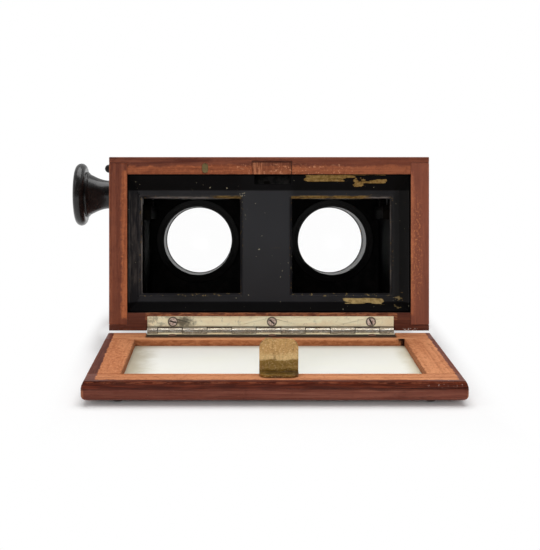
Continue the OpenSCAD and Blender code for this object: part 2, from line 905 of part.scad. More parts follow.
// Tongue outline with rounded free corners, as a prism along Y
module tongue_outline() {
  h = door_top + tongue_length;
  slab(tongue_left, tongue_right, -door_free, 0, door_top - 1, h - tongue_round);
  slab(tongue_left + tongue_round, tongue_right - tongue_round, -door_free, 0, door_top - 1, h);
  for (x = [tongue_left + tongue_round, tongue_right - tongue_round])
    rod_y(x, -door_free, 0, h - tongue_round, tongue_round);
}

module tongue_screws() {
  color([0.5, 0.47, 0.38])
    place_door()
      tongue_screw_places() {
        translate([0, 0, door_top - 3.5])
          cylinder(r = 0.6, h = 3.5 + tongue_foot_thickness - 0.4);
        translate([0, 0, door_top + tongue_foot_thickness - 0.5])
          cylinder(r1 = 0.6, r2 = 1.1, h = 0.5);
      }
}

module door_feet() {
  sink = foot_height + 0.15;
  ball = (pow(foot_radius, 2) + pow(sink, 2)) / (2 * sink);
  color([0.12, 0.11, 0.1])
    place_door()
      for (x = [foot_side_inset - door_half, door_half - foot_side_inset])
        for (u = [door_end + foot_inset, door_free - foot_inset])
          translate([x, -u, 0])
            intersection() {
              translate([0, 0, ball - 0.15])
                sphere(r = ball);
              cylinder(r = foot_radius + 1, h = foot_height);
            }
}

module latch_button() {
  color([0.08, 0.08, 0.08])
    place_box() {
      rod_x(-half - button_height + button_radius, -half + 0.6, bar_depth, bar_lift, button_radius);
      intersection() {
        translate([-half - button_height + button_radius, bar_depth, bar_lift])
          sphere(r = button_radius);
        rod_x(-half - button_height - 1, -half - button_height + button_radius, bar_depth, bar_lift,
              2 * button_radius);
      }
    }
}

// Catch bar: round bar with a collar for its spring, a slot for the guide pin and a hook
module latch_bar() {
  color([0.62, 0.53, 0.3])
    place_box()
      difference() {
        union() {
          rod_x(-half + 0.6, hook_left + 1.5, bar_depth, bar_lift, bar_radius);
          rod_x(collar_left, spring_left, bar_depth, bar_lift, collar_radius);
          slab(hook_left, hook_left + hook_width, bar_depth - hook_half, bar_depth + hook_half,
               blade_low, bar_lift + 1.2);
          slab(hook_left, catch_right, bar_depth - hook_half, bar_depth + hook_half, blade_low, blade_high);
        }
        slab(guide_pin_offset - 0.65 - button_travel, guide_pin_offset + 0.65,
             bar_depth - 3, bar_depth + 3, bar_lift - 0.2 - 0.65, bar_lift - 0.2 + 0.65);
      }
}

// Small block on the hook that the lip of the tongue snaps over
module latch_catch() {
  color([0.62, 0.53, 0.3])
    place_box()
      slab(catch_right - catch_width, catch_right, bar_depth - hook_half, bar_depth + hook_half,
           blade_high, tongue_low - 0.2);
}

// Knob profile: slim neck flaring to a step, then a thick disc with a rounded rim
module knob_profile() {
  disc_start = knob_length - knob_disc;
  rim = knob_disc / 2;
  flare_start = 5.5;
  flare_end = disc_start - 1.4;
  neck = [for (i = [0 : 10])
    [neck_radius + (flare_radius - neck_radius) * (1 - cos(9 * i)),
     flare_start + (flare_end - flare_start) * i / 10]];
  disc = [for (i = [0 : 12])
    [knob_radius - rim + rim * cos(-90 + 15 * i), disc_start + rim + rim * sin(-90 + 15 * i)]];
  polygon(concat(
    [[0, 0.3], [neck_radius, 0.3]],
    neck,
    [[flare_radius + 0.5, flare_end + 0.2], [flare_radius + 0.9, disc_start - 0.6],
     [flare_radius + 0.9, disc_start]],
    disc,
    [[6.5, knob_length], [5.2, knob_length - 0.7], [0, knob_length - 0.7]]));
}

module knob() {
  color([0.06, 0.06, 0.06])
    place_box()
      difference() {
        turned_left(-half, shaft_depth, shaft_lift)
          knob_profile();
        rod_x(-half - 12, -half, shaft_depth, shaft_lift, shaft_radius);
        rod_x(-half - knob_length - 1, -half - 11, shaft_depth, shaft_lift, 1.1);
        rod_x(-half - knob_length, -half - knob_length + 1.7, shaft_depth, shaft_lift, 2);
      }
}

module knob_screw() {
  color([0.55, 0.5, 0.38])
    place_box()
      difference() {
        union() {
          rod_x(-half - knob_length + 0.7, -half - knob_length + 1.7, shaft_depth, shaft_lift, 1.95);
          rod_x(-half - knob_length + 1.6, -half - 12, shaft_depth, shaft_lift, 1.05);
        }
        slab(-half - knob_length, -half - knob_length + 1.2, shaft_depth - 3, shaft_depth + 3,
             shaft_lift - 0.3, shaft_lift + 0.3);
      }
}

module pinion_shaft() {
  color([0.65, 0.65, 0.66])
    place_box()
      rod_x(-half - 12, inner + 3.2, shaft_depth, shaft_lift, shaft_radius);
}

// Half the tooth angle of the pinion at a radius, in degrees
function inv_deg(a) = tan(a) * 180 / PI - a;
function tooth_half(r) =
  (PI * tooth_module / 2 - tooth_play) / (2 * pitch_radius) * 180 / PI
  + inv_deg(tooth_angle) - inv_deg(acos(min(1, base_radius / r)));

// Pinion outline with involute flanks, one tooth pointing down
module pinion_outline() {
  steps = 4;
  polygon([for (t = [0 : pinion_teeth - 1])
    for (k = [0 : 2 * steps + 3])
      let (
        left = k <= steps + 1,
        j = left ? k : 2 * steps + 3 - k,
        r = j == 0 ? root_radius : base_radius + (tip_radius - base_radius) * (j - 1) / steps,
        h = tooth_half(max(r, base_radius)),
        a = -90 + t * 360 / pinion_teeth + (left ? -h : h)
      )
      [r * cos(a), r * sin(a)]]);
}

// Pinion between two X planes
module pinion(x0) {
  color([0.72, 0.6, 0.32])
    place_box()
      difference() {
        translate([x0, shaft_depth, shaft_lift])
          rotate([90, 0, 90])
            linear_extrude(height = pinion_width)
              pinion_outline();
        rod_x(x0 - 1, x0 + pinion_width + 1, shaft_depth, shaft_lift, shaft_radius);
      }
}

module pinion_left() {
  pinion(-cheek_in + 0.2);
}

module pinion_right() {
  pinion(cheek_in - 0.2 - pinion_width);
}

module lens_board() {
  color([0.42, 0.22, 0.13])
    place_box()
      difference() {
        slab(-inner + board_gap, inner - board_gap, board_depth, board_front,
             bottom_thickness + board_gap, ceiling - board_gap);
        for (s = [-1, 1])
          rod_y(s * lens_pitch / 2, board_depth - 1, board_front + 1, lens_lift, barrel_out);
      }
}

// Cheek that carries the rack and slides on the runner
module cheek(side) {
  x0 = side < 0 ? -cheek_out : cheek_in;
  groove = runner_depth - 0.3;
  g0 = side < 0 ? -cheek_out - 1 : cheek_out - groove;
  color([0.3, 0.17, 0.11])
    place_box()
      difference() {
        slab(x0, x0 + cheek_thickness, board_depth - cheek_length, board_depth,
             bottom_thickness + board_gap, bottom_thickness + board_gap + cheek_height);
        slab(g0, g0 + groove + 1, board_depth - cheek_length - 1, board_depth + 1,
             runner_lift - runner_clearance, runner_lift + runner_width + runner_clearance);
        rod_y(side * lens_pitch / 2, barrel_back - 0.5, board_depth + 1, lens_lift, nut_radius + 0.3);
      }
}

module cheek_left() {
  cheek(-1);
}

module cheek_right() {
  cheek(1);
}

// Rack outline: base bar and straight-sided teeth, a gap under the shaft at rest
module rack_outline() {
  half_tooth = rack_pitch / 4 - tooth_play / 4;
  slope = tan(tooth_angle);
  translate([rack_back, rack_line - rack_height])
    square([board_depth - rack_back, rack_height - tooth_module]);
  for (i = [rack_first : rack_last])
    translate([shaft_depth + (i + 0.5) * rack_pitch, rack_line])
      polygon([
        [-half_tooth - slope * tooth_module, -tooth_module - e],
        [half_tooth + slope * tooth_module, -tooth_module - e],
        [half_tooth - slope * 0.8 * tooth_module, 0.8 * tooth_module],
        [-half_tooth + slope * 0.8 * tooth_module, 0.8 * tooth_module]]);
}

// Rack between two X planes
module rack(x0) {
  color([0.72, 0.6, 0.32])
    place_box()
      translate([x0, 0, 0])
        rotate([90, 0, 90])
          linear_extrude(height = pinion_width + 0.4)
            rack_outline();
}

module rack_left() {
  rack(-cheek_in);
}

module rack_right() {
  rack(rack_in);
}

// Lens barrel with a front flange and an inner seat for the lens
module barrel(x) {
  color([0.1, 0.1, 0.1])
    place_box()
      difference() {
        union() {
          rod_y(x, barrel_back, barrel_front, lens_lift, barrel_out);
          rod_y(x, board_front, board_front + 1.6, lens_lift, flange_radius);
        }
        rod_y(x, barrel_back - 1, barrel_front + 1, lens_lift, bore_radius);
        rod_y(x, lens_seat, barrel_front + 1, lens_lift, lens_radius + 0.1);
      }
}

module barrel_left() {
  barrel(-lens_pitch / 2);
}

module barrel_right() {
  barrel(lens_pitch / 2);
}

// Threaded ring that clamps a barrel from behind the board
module clamp_ring(x) {
  color([0.12, 0.12, 0.12])
    place_box()
      difference() {
        rod_y(x, barrel_back, board_depth, lens_lift, nut_radius);
        rod_y(x, barrel_back - 1, board_depth + 1, lens_lift, barrel_out);
      }
}

module clamp_ring_left() {
  clamp_ring(-lens_pitch / 2);
}

module clamp_ring_right() {
  clamp_ring(lens_pitch / 2);
}

// Lens: flat towards the slide, convex towards the eye
module lens(x) {
  color([0.85, 0.92, 0.95, 0.5])
    place_box()
      intersection() {
        rod_y(x, lens_seat, barrel_front + 3, lens_lift, lens_radius);
        translate([x, lens_seat + lens_edge + lens_sag - lens_curve, lens_lift])
          sphere(r = lens_curve, $fn = 144);
      }
}

module lens_left() {
  lens(-lens_pitch / 2);
}

module lens_right() {
  lens(lens_pitch / 2);
}

// Ring that holds the lens in its seat
module retainer(x) {
  y0 = lens_seat + lens_edge + lens_sag - retainer_sag + 0.1;
  color([0.12, 0.12, 0.12])
    place_box()
      difference() {
        rod_y(x, y0, barrel_front - 0.2, lens_lift, lens_radius + 0.05);
        rod_y(x, y0 - 1, barrel_front + 1, lens_lift, retainer_in);
      }
}

module retainer_left() {
  retainer(-lens_pitch / 2);
}

module retainer_right() {
  retainer(lens_pitch / 2);
}

// Eyecup profile: points are [radius, distance forward from the back of the cup]
module cup_profile() {
  lip = barrel_front - cup_back;
  k = cup_length / 20;
  polygon([
    [barrel_out + 0.05, 0], [barrel_out + 1.6 * k, 0], [barrel_out + 2 * k, 0.6 * k],
    [barrel_out + 2 * k, lip - k], [barrel_out + 2.3 * k, lip + 1.5 * k],
    [cup_radius - 1.6 * k, cup_length - 4 * k], [cup_radius - 0.3 * k, cup_length - 1.8 * k],
    [cup_radius, cup_length - 0.9 * k], [cup_radius - 0.4 * k, cup_length - 0.2 * k],
    [cup_radius - k, cup_length], [cup_radius - 1.8 * k, cup_length - 0.3 * k],
    [cup_radius - 3.2 * k, cup_length - 2.6 * k], [bore_radius + k, lip + 2 * k],
    [bore_radius, lip + 0.4 * k], [bore_radius, lip], [barrel_out + 0.05, lip]]);
}

// Turned eyecup pushed over the front of a barrel
module eyecup(x) {
  color([0.07, 0.07, 0.07])
    place_box()
      turned_back(x, cup_back, lens_lift)
        cup_profile();
}

module eyecup_left() {
  eyecup(-lens_pitch / 2);
}

module eyecup_right() {
  eyecup(lens_pitch / 2);
}

top_board();
bottom_board();
left_side();
right_side();
septum();
slide_mask();
mask_ledge_top();
mask_ledge_bottom();
hinge_body_leaf();
hinge_pin();
hinge_body_screws();
latch_guide_pin();
latch_spring();
bush_left();
bush_right();
runner_left();
runner_right();
door_hinge_rail();
door_free_rail();
door_left_stile();
door_right_stile();
ground_glass();
glazing_beads();
hinge_door_leaf();
hinge_door_screws();
spring_tongue();
tongue_screws();
door_feet();
latch_button();
latch_bar();
latch_catch();
knob();
knob_screw();
pinion_shaft();
pinion_left();
pinion_right();
lens_board();
cheek_left();
cheek_right();
rack_left();
rack_right();
barrel_left();
barrel_right();
clamp_ring_left();
clamp_ring_right();
lens_left();
lens_right();
retainer_left();
retainer_right();
eyecup_left();
eyecup_right();
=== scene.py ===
import json
import math

import bmesh
import bpy
from mathutils import Matrix, Vector


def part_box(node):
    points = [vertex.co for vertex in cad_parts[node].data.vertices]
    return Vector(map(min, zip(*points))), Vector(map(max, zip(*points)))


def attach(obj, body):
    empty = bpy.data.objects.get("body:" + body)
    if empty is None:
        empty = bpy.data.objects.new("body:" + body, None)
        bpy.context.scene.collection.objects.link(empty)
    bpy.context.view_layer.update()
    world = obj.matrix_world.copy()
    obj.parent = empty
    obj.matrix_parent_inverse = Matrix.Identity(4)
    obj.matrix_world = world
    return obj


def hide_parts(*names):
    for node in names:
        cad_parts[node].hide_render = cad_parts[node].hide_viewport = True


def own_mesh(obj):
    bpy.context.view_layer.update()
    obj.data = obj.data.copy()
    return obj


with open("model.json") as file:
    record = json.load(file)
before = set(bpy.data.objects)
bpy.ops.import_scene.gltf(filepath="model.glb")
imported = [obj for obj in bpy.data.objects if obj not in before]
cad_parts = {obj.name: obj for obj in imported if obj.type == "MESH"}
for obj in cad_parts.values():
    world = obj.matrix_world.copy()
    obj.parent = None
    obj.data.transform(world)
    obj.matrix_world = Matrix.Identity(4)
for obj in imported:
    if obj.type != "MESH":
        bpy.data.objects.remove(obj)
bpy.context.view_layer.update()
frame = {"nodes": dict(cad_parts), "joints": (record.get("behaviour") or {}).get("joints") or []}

nodes = frame["nodes"]
joints = {j["name"]: j for j in frame["joints"]}
scene = bpy.context.scene

# The two frames of the part, in mm. The box frame has Y = 0 at the rear face, Z = 0 at the bottom and X = 0
# in the middle. It leans about the hinge axis, which is AXIS_IN from the rear face and AXIS_DROP below the
# bottom. The door frame is level, with its origin on the table below the axis, and u runs to the free edge.
LEAN = math.asin(-joints["focus_slide"]["axis"][2])
AXIS = Vector(joints["door_hinge"]["pos_m"]) * 1000
AXIS_IN, AXIS_DROP = 0.25, 0.45

# Sizes in those frames, as in the part's source
BOX_HALF, BOX_HEIGHT, BOX_LENGTH = 65.0, 70.5, 75.0
SIDE, TOP, BOTTOM = 7.4, 7.0, 7.3
OVERHANG, DOOR_TOP = 1.0, 8.5
STILE, HINGE_RAIL, FREE_RAIL = 12.7, 10.75, 10.4
HINGE_MIDDLE, HINGE_LENGTH, KNUCKLE, END_KNUCKLE = 0.6, 100.0, 10.0, 4.2
SCREW_SHIFT, SCREW_PITCH, SCREW_LIFT, HEAD_RADIUS = 0.55, 40.2, 3.6, 1.7
WINDOW_OFFSET, WINDOW_PITCH, WINDOW_LIFT = -0.95, 62.0, 34.2
BOARD_SETBACK = 1.0

# Places that follow from them
INNER_HALF, INNER_TOP = BOX_HALF - SIDE, BOX_HEIGHT - TOP
DOOR_HALF, DOOR_NEAR, DOOR_FREE = BOX_HALF + OVERHANG, AXIS_DROP, AXIS_DROP + BOX_HEIGHT + OVERHANG
OPENING_HALF, OPENING_NEAR, OPENING_FAR = DOOR_HALF - STILE, DOOR_NEAR + HINGE_RAIL, DOOR_FREE - FREE_RAIL
HINGE_LEFT, HINGE_RIGHT = HINGE_MIDDLE - HINGE_LENGTH / 2, HINGE_MIDDLE + HINGE_LENGTH / 2
SCREWS = [HINGE_MIDDLE + SCREW_SHIFT + SCREW_PITCH * i for i in (-1, 0, 1)]
BOARD_FRONT = BOX_LENGTH - BOARD_SETBACK


def from_box(x, y, z):
    """Row-frame point in metres of a box-frame point in mm."""
    turned = Matrix.Rotation(-LEAN, 3, "X") @ Vector((x, y - AXIS_IN, z + AXIS_DROP))
    return (turned + AXIS) / 1000


def srgb(r, g, b):
    """Linear colour of one that is written in 0..255."""
    def lin(v):
        v /= 255
        return v / 12.92 if v <= 0.04045 else ((v + 0.055) / 1.055) ** 2.4
    return (lin(r), lin(g), lin(b), 1.0)


# Shader building
class Nodes:
    """Short calls for the nodes of one shader tree."""

    def __init__(self, owner):
        owner.use_nodes = True
        self.tree = owner.node_tree
        self.tree.nodes.clear()

    def node(self, kind, **props):
        n = self.tree.nodes.new("ShaderNode" + kind)
        for key, value in props.items():
            setattr(n, key, value)
        return n

    def link(self, value, socket):
        if isinstance(value, bpy.types.NodeSocket):
            self.tree.links.new(value, socket)
        else:
            socket.default_value = value

    def split(self, vector):
        n = self.node("SeparateXYZ")
        self.link(vector, n.inputs[0])
        return n.outputs

    def math(self, op, a, b=0.0, c=0.0, clamp=False):
        n = self.node("Math", operation=op, use_clamp=clamp)
        for i, v in enumerate((a, b, c)):
            self.link(v, n.inputs[i])
        return n.outputs[0]

    def add(self, a, b):
        return self.math("ADD", a, b)

    def sub(self, a, b):
        return self.math("SUBTRACT", a, b)

    def mul(self, a, b):
        return self.math("MULTIPLY", a, b)

    def abs(self, v):
        return self.math("ABSOLUTE", v)

    def length(self, a, b):
        return self.math("SQRT", self.add(self.math("POWER", a, 2.0), self.math("POWER", b, 2.0)))

    def low(self, *v):
        out = v[0]
        for w in v[1:]:
            out = self.math("MINIMUM", out, w)
        return out

    def high(self, *v):
        out = v[0]
        for w in v[1:]:
            out = self.math("MAXIMUM", out, w)
        return out

    def ramp(self, v, a, b, at_a, at_b):
        """at_a up to a, at_b from b on, smooth between."""
        n = self.node("MapRange", interpolation_type="SMOOTHSTEP")
        for value, socket in ((v, "Value"), (a, "From Min"), (b, "From Max"), (at_a, "To Min"),
                              (at_b, "To Max")):
            self.link(value, n.inputs[socket])
        return n.outputs[0]

    def step(self, v, a, b):
        """0 on the side of a, 1 on the side of b, smooth between."""
        return self.ramp(v, a, b, 0.0, 1.0) if a <= b else self.ramp(v, b, a, 1.0, 0.0)

    def inside(self, v, a, b, soft):
        """1 from a to b, 0 outside, smooth over twice soft at either end."""
        return self.mul(self.step(v, a - soft, a + soft), self.step(v, b + soft, b - soft))

    def mix(self, f, a, b):
        n = self.node("Mix", data_type="RGBA")
        self.link(f, n.inputs[0])
        self.link(a, n.inputs[6])
        self.link(b, n.inputs[7])
        return n.outputs[2]

    def fade(self, f, a, b):
        n = self.node("Mix", data_type="FLOAT")
        self.link(f, n.inputs[0])
        self.link(a, n.inputs[2])
        self.link(b, n.inputs[3])
        return n.outputs[0]

    def blend(self, f, a, b):
        """Shader a where f is 0 and shader b where it is 1."""
        n = self.node("MixShader")
        for i, v in enumerate((f, a, b)):
            self.link(v, n.inputs[i])
        return n.outputs[0]


class Look(Nodes):
    """A Principled material that is drawn in mm in the box frame (x, y, z) or the door frame (x, u, z)."""

    def __init__(self, name, place="box", **fixed):
        self.mat = bpy.data.materials.new(name)
        super().__init__(self.mat)
        self.bsdf = self.node("BsdfPrincipled")
        self.link(self.bsdf.outputs[0], self.node("OutputMaterial").inputs[0])
        for key, value in fixed.items():
            self.bsdf.inputs[key.replace("_", " ")].default_value = value
        m = self.node("Mapping")
        m.inputs["Scale"].default_value = (1000, 1000, 1000)
        if place == "box":
            m.inputs["Rotation"].default_value = (LEAN, 0, 0)
            back = Matrix.Rotation(LEAN, 3, "X") @ AXIS
            m.inputs["Location"].default_value = Vector((0, AXIS_IN, -AXIS_DROP)) - back
        else:
            m.inputs["Location"].default_value = (-AXIS.x, -AXIS.y, 0)
        self.link(self.node("TexCoord").outputs["Object"], m.inputs["Vector"])
        self.p = m.outputs[0]
        self.x, self.y, self.z = self.split(self.p)
        if place == "door":
            self.u = self.mul(self.y, -1.0)

    def stretch(self, sx, sy, sz, move=(0, 0, 0)):
        """The point, scaled and moved along each axis, for a noise."""
        n = self.node("Mapping")
        n.inputs["Scale"].default_value = (sx, sy, sz)
        n.inputs["Location"].default_value = move
        self.link(self.p, n.inputs["Vector"])
        return n.outputs[0]

    def noise(self, vec, scale=1.0, detail=4.0, rough=0.55, distort=0.0):
        n = self.node("TexNoise")
        for value, socket in ((vec, "Vector"), (scale, "Scale"), (detail, "Detail"), (rough, "Roughness"),
                              (distort, "Distortion")):
            self.link(value, n.inputs[socket])
        return n.outputs[0]

    def ragged(self, amount, *noise):
        """Noise round zero, amount from its lowest to its highest."""
        return self.mul(self.sub(self.noise(*noise), 0.5), amount)

    def finish(self, colour, rough, height=None, bump=0.3, depth=0.0001, metal=None):
        """Feed the shader and give the material. depth is the bump's full height in metres."""
        self.link(colour, self.bsdf.inputs["Base Color"])
        self.link(rough, self.bsdf.inputs["Roughness"])
        if metal is not None:
            self.link(metal, self.bsdf.inputs["Metallic"])
        if height is not None:
            b = self.node("Bump")
            b.inputs["Strength"].default_value = bump
            b.inputs["Distance"].default_value = depth
            self.link(height, b.inputs["Height"])
            self.link(b.outputs[0], self.bsdf.inputs["Normal"])
        return self.mat


# Wood
# Each palette holds raw wood dark, middle, light and pore, then lacquered wood dark, middle, light and pore
BOX_WOOD = [srgb(*v) for v in ((104, 48, 27), (140, 76, 46), (172, 100, 62), (64, 28, 16),
                               (78, 34, 22), (110, 56, 36), (138, 76, 51), (46, 17, 11))]
DOOR_WOOD = [srgb(*v) for v in ((150, 82, 46), (190, 120, 80), (218, 150, 106), (100, 48, 26),
                                (80, 35, 22), (110, 56, 42), (138, 84, 66), (42, 15, 9))]


def grained(k, grain, seed):
    """Height and colour layers of mahogany with its grain along one axis."""
    def along(a, b):
        s = [b, b, b]
        s["xyz".index(grain)] = a
        return k.stretch(*s, move=(seed * 3.1, seed * 7.7, seed * 5.3))
    tone = k.noise(along(0.012, 0.09), 1.0, 4, 0.6, 0.5)
    band = k.noise(along(0.02, 0.55), 1.0, 5, 0.6, 0.9)
    fibre = k.noise(along(0.07, 2.6), 1.0, 3, 0.6)
    pore = k.step(k.noise(along(0.32, 4.2), 1.0, 2, 0.5), 0.60, 0.70)
    return tone, band, fibre, pore


def wooden(name, place, grain, seed, lacquer, black=None, coat=0.05, shine=0.32, stains_and_shade=None, rubbed=0.5,
           gloss=0.22):
    """Mahogany. lacquer and black give a 0..1 zone from the look, and stains changes the colour last, with
    marks, wear and painted light and shade.
    """
    k = Look(name, place, Coat_Weight=coat, Coat_Roughness=0.25, IOR=1.5, Specular_IOR_Level=gloss)
    tones = BOX_WOOD if place == "box" else DOOR_WOOD
    tone, band, fibre, pore = grained(k, grain, seed)
    blotch = k.noise(k.p, 0.12, 5, 0.65, 0.5)
    raw = k.mix(k.step(tone, 0.34, 0.68), tones[1], tones[2])
    raw = k.mix(k.mul(k.step(band, 0.46, 0.68), 1.0 - 0.7 * rubbed), raw, tones[0])
    raw = k.mix(k.mul(k.step(blotch, 0.50, 0.72), 0.45), raw, tones[0])
    raw = k.mix(k.mul(k.step(fibre, 0.5, 0.75), 0.32), raw, tones[2])
    # rubbed bare wood has no clear grain: small torn flakes, light and dark
    flake = k.noise(k.stretch(0.8, 1.0, 0.8, (seed, 2.0, 5.0)), 1.0, 4, 0.65, 0.6)
    raw = k.mix(k.mul(k.step(flake, 0.53, 0.66), rubbed), raw, tones[2])
    raw = k.mix(k.mul(k.step(flake, 0.46, 0.34), rubbed), raw, tones[0])
    raw = k.mix(k.mul(pore, 0.45 * (1.3 - rubbed)), raw, tones[3])
    lack = k.mix(k.step(tone, 0.3, 0.7), tones[4], tones[5])
    lack = k.mix(k.mul(k.step(band, 0.42, 0.7), 0.55), lack, tones[6])
    lack = k.mix(k.mul(k.step(fibre, 0.45, 0.7), 0.25), lack, tones[6])
    lack = k.mix(k.mul(k.step(blotch, 0.52, 0.7), 0.35), lack, tones[4])
    lack = k.mix(k.mul(k.step(flake, 0.60, 0.70), rubbed * 0.5), lack, tones[6])
    lack = k.mix(k.mul(pore, 0.5), lack, tones[7])
    zone = lacquer(k)
    colour = k.mix(zone, raw, lack)
    if stains_and_shade is not None:
        colour = stains_and_shade(k, colour)
    rough = k.fade(zone, k.add(0.68, k.mul(k.sub(fibre, 0.5), 0.3)),
                   k.add(shine, k.mul(k.sub(band, 0.5), 0.25)))
    height = k.sub(k.add(k.mul(fibre, 0.5), k.mul(band, 0.35)), k.sub(k.mul(pore, 0.9), k.mul(flake, 0.6)))
    height = k.mul(height, k.fade(zone, 1.0, 0.45))
    if black is not None:
        b = black(k)
        patches = k.step(k.noise(k.p, 0.35, 5, 0.6), 0.4, 0.7)
        paint = k.mix(patches, (0.002, 0.002, 0.002, 1), (0.006, 0.005, 0.005, 1))
        colour = k.mix(b, colour, paint)
        rough = k.fade(b, rough, 0.7)
        k.link(k.fade(b, gloss, 0.08), k.bsdf.inputs["Specular IOR Level"])
    return k.finish(colour, rough, height, bump=0.55, depth=0.00018)


def box_edges(k):
    """Distances in mm from the outer planes of the box: sides, top and bottom, ends."""
    a = k.sub(BOX_HALF, k.abs(k.x))
    b = k.sub(BOX_HEIGHT / 2, k.abs(k.sub(k.z, BOX_HEIGHT / 2)))
    c = k.sub(BOX_LENGTH / 2, k.abs(k.sub(k.y, BOX_LENGTH / 2)))
    return a, b, c


def worn_edge(k, a, b, c, width=0.55):
    """1 where two of the three distances are small, broken up by noise."""
    second = k.high(k.low(a, b), k.low(k.high(a, b), c))
    ragged = k.ragged(2.4, k.p, 0.22, 5, 0.7)
    return k.step(k.add(second, ragged), width, width - 0.45)


def box_zone(first, last):
    """Lacquer up to first mm from the outline, fading to bare wood at last mm, and all over past the rear."""
    def zone(k):
        a, b, c = box_edges(k)
        d = k.low(a, b)
        ragged = k.add(k.ragged(3.0, k.stretch(0.05, 1, 0.05), 1.0, 3, 0.6),
                       k.ragged(3.2, k.stretch(0.3, 1, 0.45), 1.0, 5, 0.7, 0.8))
        out = k.step(k.add(d, ragged), last, first)
        out = k.high(out, k.step(k.y, 1.2, 2.4))
        wear = k.mul(worn_edge(k, a, b, c), 0.45)
        return k.math("SUBTRACT", out, wear, clamp=True)
    return zone


def box_black(k):
    """Black paint inside the box, from just past its rear edge to just short of its front edge."""
    inner = k.low(k.sub(INNER_HALF + 0.02, k.abs(k.x)), k.sub(INNER_TOP + 0.06, k.z),
                  k.sub(k.z, BOTTOM - 0.04))
    rear = k.step(k.add(k.y, k.ragged(0.5, k.p, 0.8, 4, 0.6)), 0.15, 0.4)
    front = k.step(k.y, BOX_LENGTH - 0.05, BOX_LENGTH - 0.3)
    return k.mul(k.mul(k.step(inner, -0.03, 0.0), rear), front)


def always(value):
    """A zone that is the same everywhere."""
    return lambda k: value


def door_zone(k):
    """Lacquer on the margin, the sides and the underside of the door, bare wood on top and in the opening."""
    side = k.sub(DOOR_HALF, k.abs(k.x))
    near = k.sub(DOOR_FREE, k.u)
    left = k.mul(k.step(k.x, 0.0, -1.0), k.add(0.6, k.mul(k.u, 0.018)))
    ragged = k.ragged(1.9, k.stretch(0.35, 0.35, 1), 1.0, 5, 0.65)
    d = k.low(k.sub(side, left), near)
    margin = k.step(k.add(d, ragged), 2.9, 2.4)
    lower = k.step(k.z, DOOR_TOP - 0.2, DOOR_TOP - 0.45)
    walls = k.mul(k.inside(k.x, -OPENING_HALF - 0.3, OPENING_HALF + 0.3, 0.2),
                  k.inside(k.u, OPENING_NEAR - 0.3, OPENING_FAR + 0.25, 0.2))
    lower = k.mul(lower, k.sub(1.0, walls))
    ends = k.sub((DOOR_FREE - DOOR_NEAR) / 2, k.abs(k.sub(k.u, (DOOR_FREE + DOOR_NEAR) / 2)))
    wear = worn_edge(k, side, k.add(k.sub(DOOR_TOP, k.z), 0.25), ends, 0.75)
    return k.math("SUBTRACT", k.high(margin, lower), k.mul(wear, 0.3), clamp=True)


def dress(name, mat, bevel=0.0, angle=35, segments=3, flat=False):
    """Give a CAD node its material and soft arrises. A flat one is cleared of lines in its planes first."""
    o = nodes[name]
    if not o.data.materials:
        o.data.materials.append(mat)
    for s in o.material_slots:
        s.link = "OBJECT"
        s.material = mat
    if bevel:
        w = o.modifiers.new("Weld", "WELD")
        w.merge_threshold = 2e-6
        if flat:
            d = o.modifiers.new("Flat", "DECIMATE")
            d.decimate_type = "DISSOLVE"
            d.angle_limit = math.radians(0.3)
        b = o.modifiers.new("Arris", "BEVEL")
        b.width = bevel / 1000
        b.segments = segments
        b.limit_method = "ANGLE"
        b.angle_limit = math.radians(angle)
        b.use_clamp_overlap = False
        b.miter_outer = "MITER_ARC"
        n = o.modifiers.new("Normals", "WEIGHTED_NORMAL")
        n.keep_sharp = False


def recess_marks(k, colour):
    """Lighter end grain in the recess for the tongue, painted shade along its right and top walls and rubbed
    flecks beside it.
    """
    left, right, bottom, top = -6.7, 9.2, 63.4, 68.6
    rear = k.step(k.y, 5.0, 4.0)
    colour = k.mix(k.mul(k.mul(rear, k.step(k.x, 9.0, 18.0)), 0.4), colour, srgb(112, 60, 44))
    bed = k.mul(k.inside(k.x, left, right, 0.15), k.mul(rear, k.inside(k.z, bottom, top, 0.15)))
    lines = k.noise(k.stretch(1.9, 0.5, 0.15), 1.0, 3, 0.6)
    tint = k.mix(k.step(lines, 0.40, 0.62), srgb(118, 62, 38), srgb(190, 122, 84))
    colour = k.mix(k.mul(bed, k.fade(k.step(k.x, -2.0, -3.0), 0.2, 0.75)), colour, tint)
    # painted shade along the right and top walls of the recess
    recess_wall_shade = k.high(k.inside(k.x, right - 0.3, right + 0.15, 0.1), k.inside(k.z, top - 0.3, top + 0.15, 0.1))
    round_it = k.mul(k.mul(rear, k.inside(k.x, left - 0.2, right + 0.3, 0.1)),
                     k.inside(k.z, bottom, top + 0.3, 0.1))
    recess_wall_shade = k.mul(recess_wall_shade, round_it)
    colour = k.mix(k.mul(recess_wall_shade, 0.8), colour, srgb(46, 16, 8))
    pale = k.step(k.noise(k.stretch(0.9, 0.9, 1.3, (6, 6, 6)), 1.0, 4, 0.7), 0.57, 0.64)
    near = k.mul(k.mul(rear, k.inside(k.x, -14.0, 34.0, 4.0)), k.step(k.z, 68.5, 66.5))
    return k.mix(k.mul(k.mul(pale, near), 0.6), colour, srgb(226, 160, 118))


